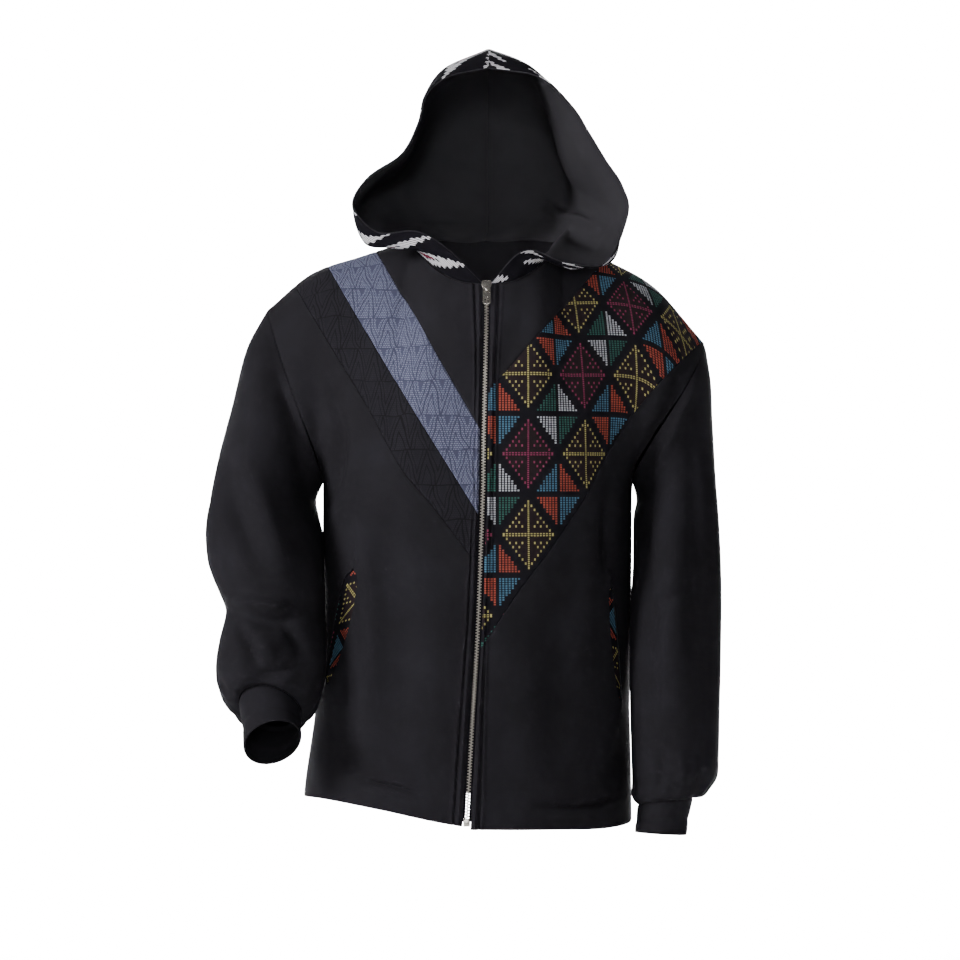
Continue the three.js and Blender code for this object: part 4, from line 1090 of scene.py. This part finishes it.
def pocket_relief(points, side):
    """The front edge of a pocket mouth stands a little proud, and the back edge sinks."""
    line = pocket_line(side, np.linspace(-0.12, 1.12, 30))[:, [0, 2]]
    flat = points[..., [0, 2]]
    gap = np.linalg.norm(flat[..., None, :] - line, axis=-1)
    near = gap.min(axis=-1)
    nearest = line[gap.argmin(axis=-1)]
    inner = (flat[..., 0] - nearest[..., 0]) * SIGN[side] < 0
    proud = POCKET_LIP["proud"]
    body = ridge(near, 0, POCKET_LIP["wide"], 1)
    sunk = POCKET_LIP["sunk"] * body * (near > 2)
    return np.where(inner, proud * body, ridge(near, 0, POCKET_LIP["edge"], proud) - sunk)


def make_fronts():
    ends = {name: seam_end("right", name) for name in ("blue_top", "blue_foot", "black_foot")}
    print_end = seam_end("left", "print_top")
    rows = [
        ("yoke_right", "right", ends["blue_top"], "blue_top", None, "knit", "front_right_yoke"),
        ("blue_band", "right", ends["blue_foot"], "blue_foot", "blue_top", "blue_jacquard",
         "front_right_blue_band"),
        ("black_band", "right", ends["black_foot"], "black_foot", "blue_foot", "black_jacquard",
         "front_right_black_band"),
        ("panel_right", "right", 1, None, "black_foot", "knit", "front_right_panel"),
        ("yoke_left", "left", print_end, "print_top", None, "knit", "front_left_yoke"),
        ("print_left", "left", 1, "print_foot", "print_top", "print_cloth", "front_left_print"),
        ("panel_left", "left", 1, None, "print_foot", "knit", "front_left_panel"),
    ]
    for name, side, end, foot, top, slot, node in rows:
        piece = front_piece(name, side, end, foot, top, slot)
        if name.startswith("panel"):
            cut_pocket(piece, side)
        dress(piece, node)


def dress(piece, node):
    """The piece stands for its CAD node, which is hidden, and moves with the jacket."""
    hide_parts(node)
    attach(piece, "jacket")


def pocket_grid(side, grow, lift, steps=24):
    """A strip along a pocket slit, grow longer and wider than the slit and lift out from the cloth."""
    slit = POCKET[side]
    wide = 268.0
    long = math.hypot(slit["top_z"] - slit["foot_z"], (slit["foot_u"] - slit["top_u"]) * wide)
    w = np.linspace(0, 1, steps)
    along = lerp(-grow / long, 1 + grow / long, w)
    belly = np.sin(np.pi * w) ** POCKET_POWER
    middle = lerp(slit["top_u"], slit["foot_u"], along) + slit["bow"] * belly / wide
    half = (slit["gape"] / 2 * belly + max(grow, 0.4)) / wide
    across = np.linspace(-1, 1, 9)
    u = middle[None] + across[:, None] * half[None]
    z = np.broadcast_to(lerp(slit["top_z"], slit["foot_z"], along), u.shape)
    points = section_point(side, "front", u, z)
    normals = outward(points, grid_normals(points), body_heart(points))
    return points + normals * lift, normals


def cut_pocket(piece, side):
    """Cuts the slanting mouth through the front."""
    points, normals = pocket_grid(side, 0, -CUTTER_REACH)
    cutter = make_grid("pocket_cutter", points.transpose(1, 0, 2), normals.transpose(1, 0, 2))
    apply_modifier(cutter, "SOLIDIFY", thickness=2 * CUTTER_REACH / 1000, offset=1, use_rim=True)
    apply_modifier(piece, "BOOLEAN", operation="DIFFERENCE", object=cutter, solver="EXACT")
    bpy.data.objects.remove(cutter)


# How the facings are cut from the print: the slant in degrees, and which place of the print lies in the mouth.
FACING_PRINT = {"lean": 38, "down": -47, "right": (TILE["u"], TILE["v"]), "left": (90, -20)}


def make_pocket_facing(side):
    points, normals = pocket_grid(side, FACING_LAP, -CLOTH - LAYER_GAP - 0.4, 40)
    points, normals = points.transpose(1, 0, 2), normals.transpose(1, 0, 2)
    # the print is cut on a slant to the mouth
    uv = flat_by_length(points)
    middle = uv[0, points.shape[1] // 2, 1]
    uv = np.stack([uv[..., 1] - middle, uv[0, :1, 0] - uv[..., 0]], axis=-1)
    lean = math.radians(FACING_PRINT["lean"])
    centre = np.array([0, FACING_PRINT["down"]]) / 1000
    turned = np.array([[math.cos(lean), -math.sin(lean)], [math.sin(lean), math.cos(lean)]])
    uv = (uv - centre) @ turned + np.array(FACING_PRINT[side]) / 1000
    piece = make_sheet(f"facing_{side}", points, normals, uv, BROCADE, "print_cloth")
    dress(piece, f"pocket_facing_{side}")


def make_back():
    ws = spaced(REACH["back_high"], BACK_STEP)
    halves = []
    for side in ("left", "right"):
        us = np.unique(np.concatenate([np.linspace(0, 1, 62), spaced(REACH["front_wide"])[-5:]]))
        u, v = np.meshgrid(us if side == "right" else us[::-1], ws, indexing="ij")
        halves.append(body_point(side, "back", u, v))
    points = np.concatenate([halves[0], halves[1][1:]])
    normals = outward(points, grid_normals(points), body_heart(points))
    relief = fold_relief(points, normals, FOLDS["body"]) + unevenness(points, 0.9)
    piece = make_sheet("back_panel", laid(points, normals, relief), normals, flat_by_length(points), CLOTH, "knit")
    dress(piece, "back")


# ---------------------------------------------------------------- sleeves and cuffs
# The gather above a cuff: a swell and small pleats, placed by their distance from the seam.
GATHER = {"swell": 3.0, "swell_at": 13, "swell_wide": 9, "pleats": 11, "high": 1.1, "at": 20, "wide": 18}


def make_sleeve(side):
    turn = np.linspace(0, 1, 97)
    rings = [armhole_points(side, turn)] + [limb_points(row, turn) for row in SLEEVE[side] + CUFF[side][:1]]
    points = lofted(rings, STEP).transpose(1, 0, 2)
    middle = points.mean(axis=0, keepdims=True)
    normals = outward(points, grid_normals(points, True), middle)
    relief = fold_relief(points, normals, FOLDS[f"sleeve_{side}"]) + unevenness(points, 0.8)
    # the sleeve is gathered into its cuff
    down = lengths(points, 1)
    left = down[:, -1:] - down
    free = np.clip(left / 6, 0, 1)
    around = turn * 2 * np.pi
    pleats = np.sin(around * GATHER["pleats"] + 2 * np.sin(around * 2))[:, None]
    relief += ridge(left, GATHER["swell_at"], GATHER["swell_wide"], GATHER["swell"]) * free
    relief += GATHER["high"] * (ridge(left, GATHER["at"], GATHER["wide"], 1) * free) * pleats
    relief *= np.clip(down / 12, 0, 1)
    relief[-1] = relief[0]
    shaped = laid(points, normals, relief, True)
    dress(make_sheet(f"arm_{side}", shaped, normals, flat_by_length(points), CLOTH, "knit"), f"sleeve_{side}")


def make_cuff(side):
    turn = np.linspace(0, 1, 73)
    points = lofted([limb_points(row, turn) for row in CUFF[side]], CUFF_STEP).transpose(1, 0, 2)
    middle = points.mean(axis=0, keepdims=True)
    normals = outward(points, grid_normals(points, True), middle)
    down = lengths(points, 1)
    # a soft tuck half way, where the doubled band folds at the wrist
    relief = unevenness(points, 0.5) + ridge(down, 0.55 * down[:, -1:], 4, -0.9)
    relief[-1] = relief[0]
    shaped = laid(points, normals, relief, True)
    way = (middle - points[:, :1])[:, 0]
    inwards = way / np.linalg.norm(way, axis=-1, keepdims=True)
    # its seam allowance lies inside the sleeve
    shaped[:, 0] += (points[:, 0] - points[:, 4]) * 0.9 + inwards * 2.4
    dress(make_sheet(f"band_{side}", shaped, normals, flat_by_length(points), CLOTH, "knit"), f"cuff_{side}")


# ---------------------------------------------------------------- hood
def make_hood(side):
    t = spaced(REACH["hood_round"])
    s = spaced(REACH["hood_high"])
    points = hood_point(side, t, s)
    normals = outward(points, grid_normals(points), body_heart(points))
    steady = np.clip(lengths(points, 1) / 25, 0, 1)  # the neck seam holds the cloth
    relief = (unevenness(points, 0.6) + fold_relief(points, normals, FOLDS["hood"])) * steady
    uv = flat_by_length(points)
    piece = make_sheet(f"hood_{side}", laid(points, normals, relief), normals, uv, BROCADE, "brocade")
    dress(piece, f"hood_outer_{side}")
    inner = points + normals * (relief - BROCADE - LAYER_GAP + seam_roll(points) * 0.6)[..., None]
    inner = pull_in(pull_in(inner, 0), 1)
    down = inner[:, 0] - inner[:, 4]
    down /= np.linalg.norm(down, axis=-1, keepdims=True)
    inner[:, 0] += down * 6 - normals[:, 0] * 1.2  # its seam allowance lies inside the neck
    piece = make_sheet(f"lining_{side}", inner, normals, uv, LINING, "hood_lining")
    dress(piece, f"hood_lining_{side}")


# ---------------------------------------------------------------- zip
def zip_line(z):
    """Point of the zip's middle line at heights, and the unit direction up it."""
    line = body_point("right", "front", 0, np.linspace(0, 1, 400))
    line[:, 0] += ZIP["edge"]
    order = np.argsort(line[:, 2])
    line = line[order]

    def read(at):
        return np.stack([np.interp(at, line[:, 2], line[:, k]) for k in range(3)], axis=-1)

    up = read(z + 3) - read(z - 3)
    return read(z), up / np.linalg.norm(up, axis=-1, keepdims=True)


TOOTH = {
    "pitch": 3.4, "wide": 3.4, "high": 1.4, "deep": 2.3,
    "lap": 0.9, "sunk": 1.3, "slant": 0.16, "bevel": 0.22,
}


def make_teeth():
    """The closed metal teeth: one tooth is modelled and copied up both tapes, half a pitch apart."""
    select_none()
    bpy.ops.mesh.primitive_cube_add(size=1)
    tooth = bpy.context.object
    tooth.scale = (TOOTH["wide"] / 1000, TOOTH["deep"] / 1000, TOOTH["high"] / 1000)
    bpy.ops.object.transform_apply(location=True, rotation=True, scale=True)
    apply_modifier(tooth, "BEVEL", width=TOOTH["bevel"] / 1000, segments=1)
    shape = np.array([v.co for v in tooth.data.vertices]) * 1000
    faces = [tuple(p.vertices) for p in tooth.data.polygons]
    bpy.data.objects.remove(tooth)
    points, all_faces = [], []
    count = int((ZIP["top"] - ZIP["foot"]) / TOOTH["pitch"] * 2)
    for n in range(count):
        half = 1 if n % 2 else -1
        place, up = zip_line(np.array(ZIP["foot"] + (n + 0.5) * TOOTH["pitch"] / 2))
        out = np.array([0, -up[2], up[1]])
        across = np.array([1.0, 0, 0])
        middle = place + across * half * (TOOTH["wide"] / 2 - TOOTH["lap"]) - out * TOOTH["sunk"]
        lean = up * (shape[:, 2:3] - half * shape[:, 0:1] * TOOTH["slant"])
        body = middle + across * shape[:, 0:1] - out * shape[:, 1:2] + lean
        all_faces += [tuple(i + len(points) * len(shape) for i in face) for face in faces]
        points.append(body)
    mesh = bpy.data.meshes.new("zip_teeth")
    mesh.from_pydata((np.concatenate(points) / 1000).tolist(), [], all_faces)
    piece = bpy.data.objects.new("zip_teeth", mesh)
    bpy.context.scene.collection.objects.link(piece)
    activate(piece)
    edit_whole((bpy.ops.mesh.normals_make_consistent, {"inside": False}))
    finish_piece(piece, MATERIALS["zip_metal"])
    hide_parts("zip_chain")
    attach(piece, "jacket")


def make_tape(side):
    """Woven tape behind a front's folded edge, with a corded edge towards the teeth."""
    zs = np.linspace(ZIP["foot"] - 4, ZIP["top"] + 3, 130)
    place, up = zip_line(zs)
    out = np.stack([np.zeros(len(zs)), -up[:, 2], up[:, 1]], axis=-1)
    dx = np.array([ZIP["tape_inner"], 3.2, 4.2, 6, 9, 13, ZIP["tape_outer"]])
    depth = np.array([2.2, 1.9, 2.4, CLOTH + 1.2, CLOTH + 1.2, CLOTH + 1.3, CLOTH + 1.6])
    side_way = np.array([SIGN[side], 0, 0])
    points = place[None] + side_way * dx[:, None, None] - out[None] * depth[:, None, None]
    normals = np.broadcast_to(out[None], points.shape)
    uv = flat_by_length(points)
    piece = make_sheet(f"tape_{side}", points, normals, uv, ZIP["tape_thick"], "zip_tape")
    dress(piece, f"zip_tape_{side}")


def make_hardware(node, name, body, bevel):
    """A rounded copy of a metal CAD piece."""
    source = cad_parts[node]
    piece = source.copy()
    piece.data = source.data.copy()
    piece.parent = None
    piece.name = piece.data.name = name
    bpy.context.scene.collection.objects.link(piece)
    activate(piece)
    edit_whole(
        (bpy.ops.mesh.remove_doubles, {"threshold": 0.00001}),
        (bpy.ops.mesh.dissolve_limited, {"angle_limit": math.radians(2)}),
    )
    sharp = math.radians(30)
    apply_modifier(piece, "BEVEL", width=bevel / 1000, segments=2, limit_method="ANGLE", angle_limit=sharp)
    finish_piece(piece, MATERIALS["slider_metal"], 40)
    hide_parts(node)
    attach(piece, body)


# ---------------------------------------------------------------- stage
# The floor runs from near to far and then curves up into a wall, in metres.
FLOOR = {"z": -1.55, "half_wide": 9, "near": -6, "far": 9, "wall": 8, "curve": 1.5}


def make_stage():
    select_none()
    bpy.ops.mesh.primitive_plane_add(size=1)
    floor = bpy.context.object
    floor.name = "studio_floor_plane"
    ends, sides = (FLOOR["near"], FLOOR["far"]), (-FLOOR["half_wide"], FLOOR["half_wide"])
    corners = [(x, y, FLOOR["z"]) for y in ends for x in sides]
    floor.data.vertices.foreach_set("co", np.array(corners, float).ravel())
    bpy.ops.object.mode_set(mode="EDIT")
    bpy.ops.mesh.select_all(action="DESELECT")
    bpy.ops.object.mode_set(mode="OBJECT")
    for edge in floor.data.edges:
        edge.select = all(floor.data.vertices[i].co.y > FLOOR["far"] - 1 for i in edge.vertices)
    bpy.ops.object.mode_set(mode="EDIT")
    bpy.ops.mesh.extrude_region_move(TRANSFORM_OT_translate={"value": (0, 0, FLOOR["wall"])})
    bpy.ops.object.mode_set(mode="OBJECT")
    apply_modifier(floor, "BEVEL", width=FLOOR["curve"], segments=12, limit_method="NONE")
    floor.data.materials.append(floor_material())
    bpy.ops.object.shade_smooth()


LIGHTS = {
    # name: place, aim, size, watts and how wide the beam is in degrees
    "key": {"at": (-2.05, -1.1, 0.5), "aim": (0, 0, -0.3), "size": 0.6, "power": 88, "spread": 180},
    "front": {"at": (-0.4, -4.2, 0.1), "aim": (0, 0, -0.1), "size": 2.0, "power": 66, "spread": 180},
    "hood": {"at": (-0.15, -2.6, 0.25), "aim": (0.01, 0, 0.06), "size": 0.5, "power": 0.5, "spread": 16},
    "top": {"at": (0.3, 0.3, 2.2), "aim": (0, 0, 0), "size": 1.4, "power": 20, "spread": 180},
    "wall": {"at": (0, 3.2, 4.6), "aim": (0, 8.5, -0.6), "size": 4.5, "power": 7400, "spread": 125},
}


WORLD = 0.14


def make_lights():
    for name, light in LIGHTS.items():
        data = bpy.data.lights.new(name, "AREA")
        data.size = light["size"]
        data.energy = light["power"]
        data.spread = math.radians(light["spread"])
        lamp = bpy.data.objects.new(name, data)
        lamp.location = light["at"]
        way = Vector(light["aim"]) - Vector(light["at"])
        lamp.rotation_euler = way.to_track_quat("-Z", "Y").to_euler()
        bpy.context.scene.collection.objects.link(lamp)
    world = bpy.data.worlds.new("studio")
    world.use_nodes = True
    background = world.node_tree.nodes["Background"]
    background.inputs[0].default_value = (1, 1, 1, 1)
    background.inputs[1].default_value = WORLD
    bpy.context.scene.world = world


# ---------------------------------------------------------------- the whole garment
make_fronts()
make_back()
for side in ("right", "left"):
    make_sleeve(side)
    make_cuff(side)
    make_hood(side)
    make_pocket_facing(side)
    make_tape(side)
make_teeth()
make_hardware("zip_box", "retainer_box", "jacket", 0.7)
make_hardware("zip_slider", "slider", "jacket", 0.3)
make_hardware("pull_tab", "tab", "tab", 0.3)
make_stage()
make_lights()
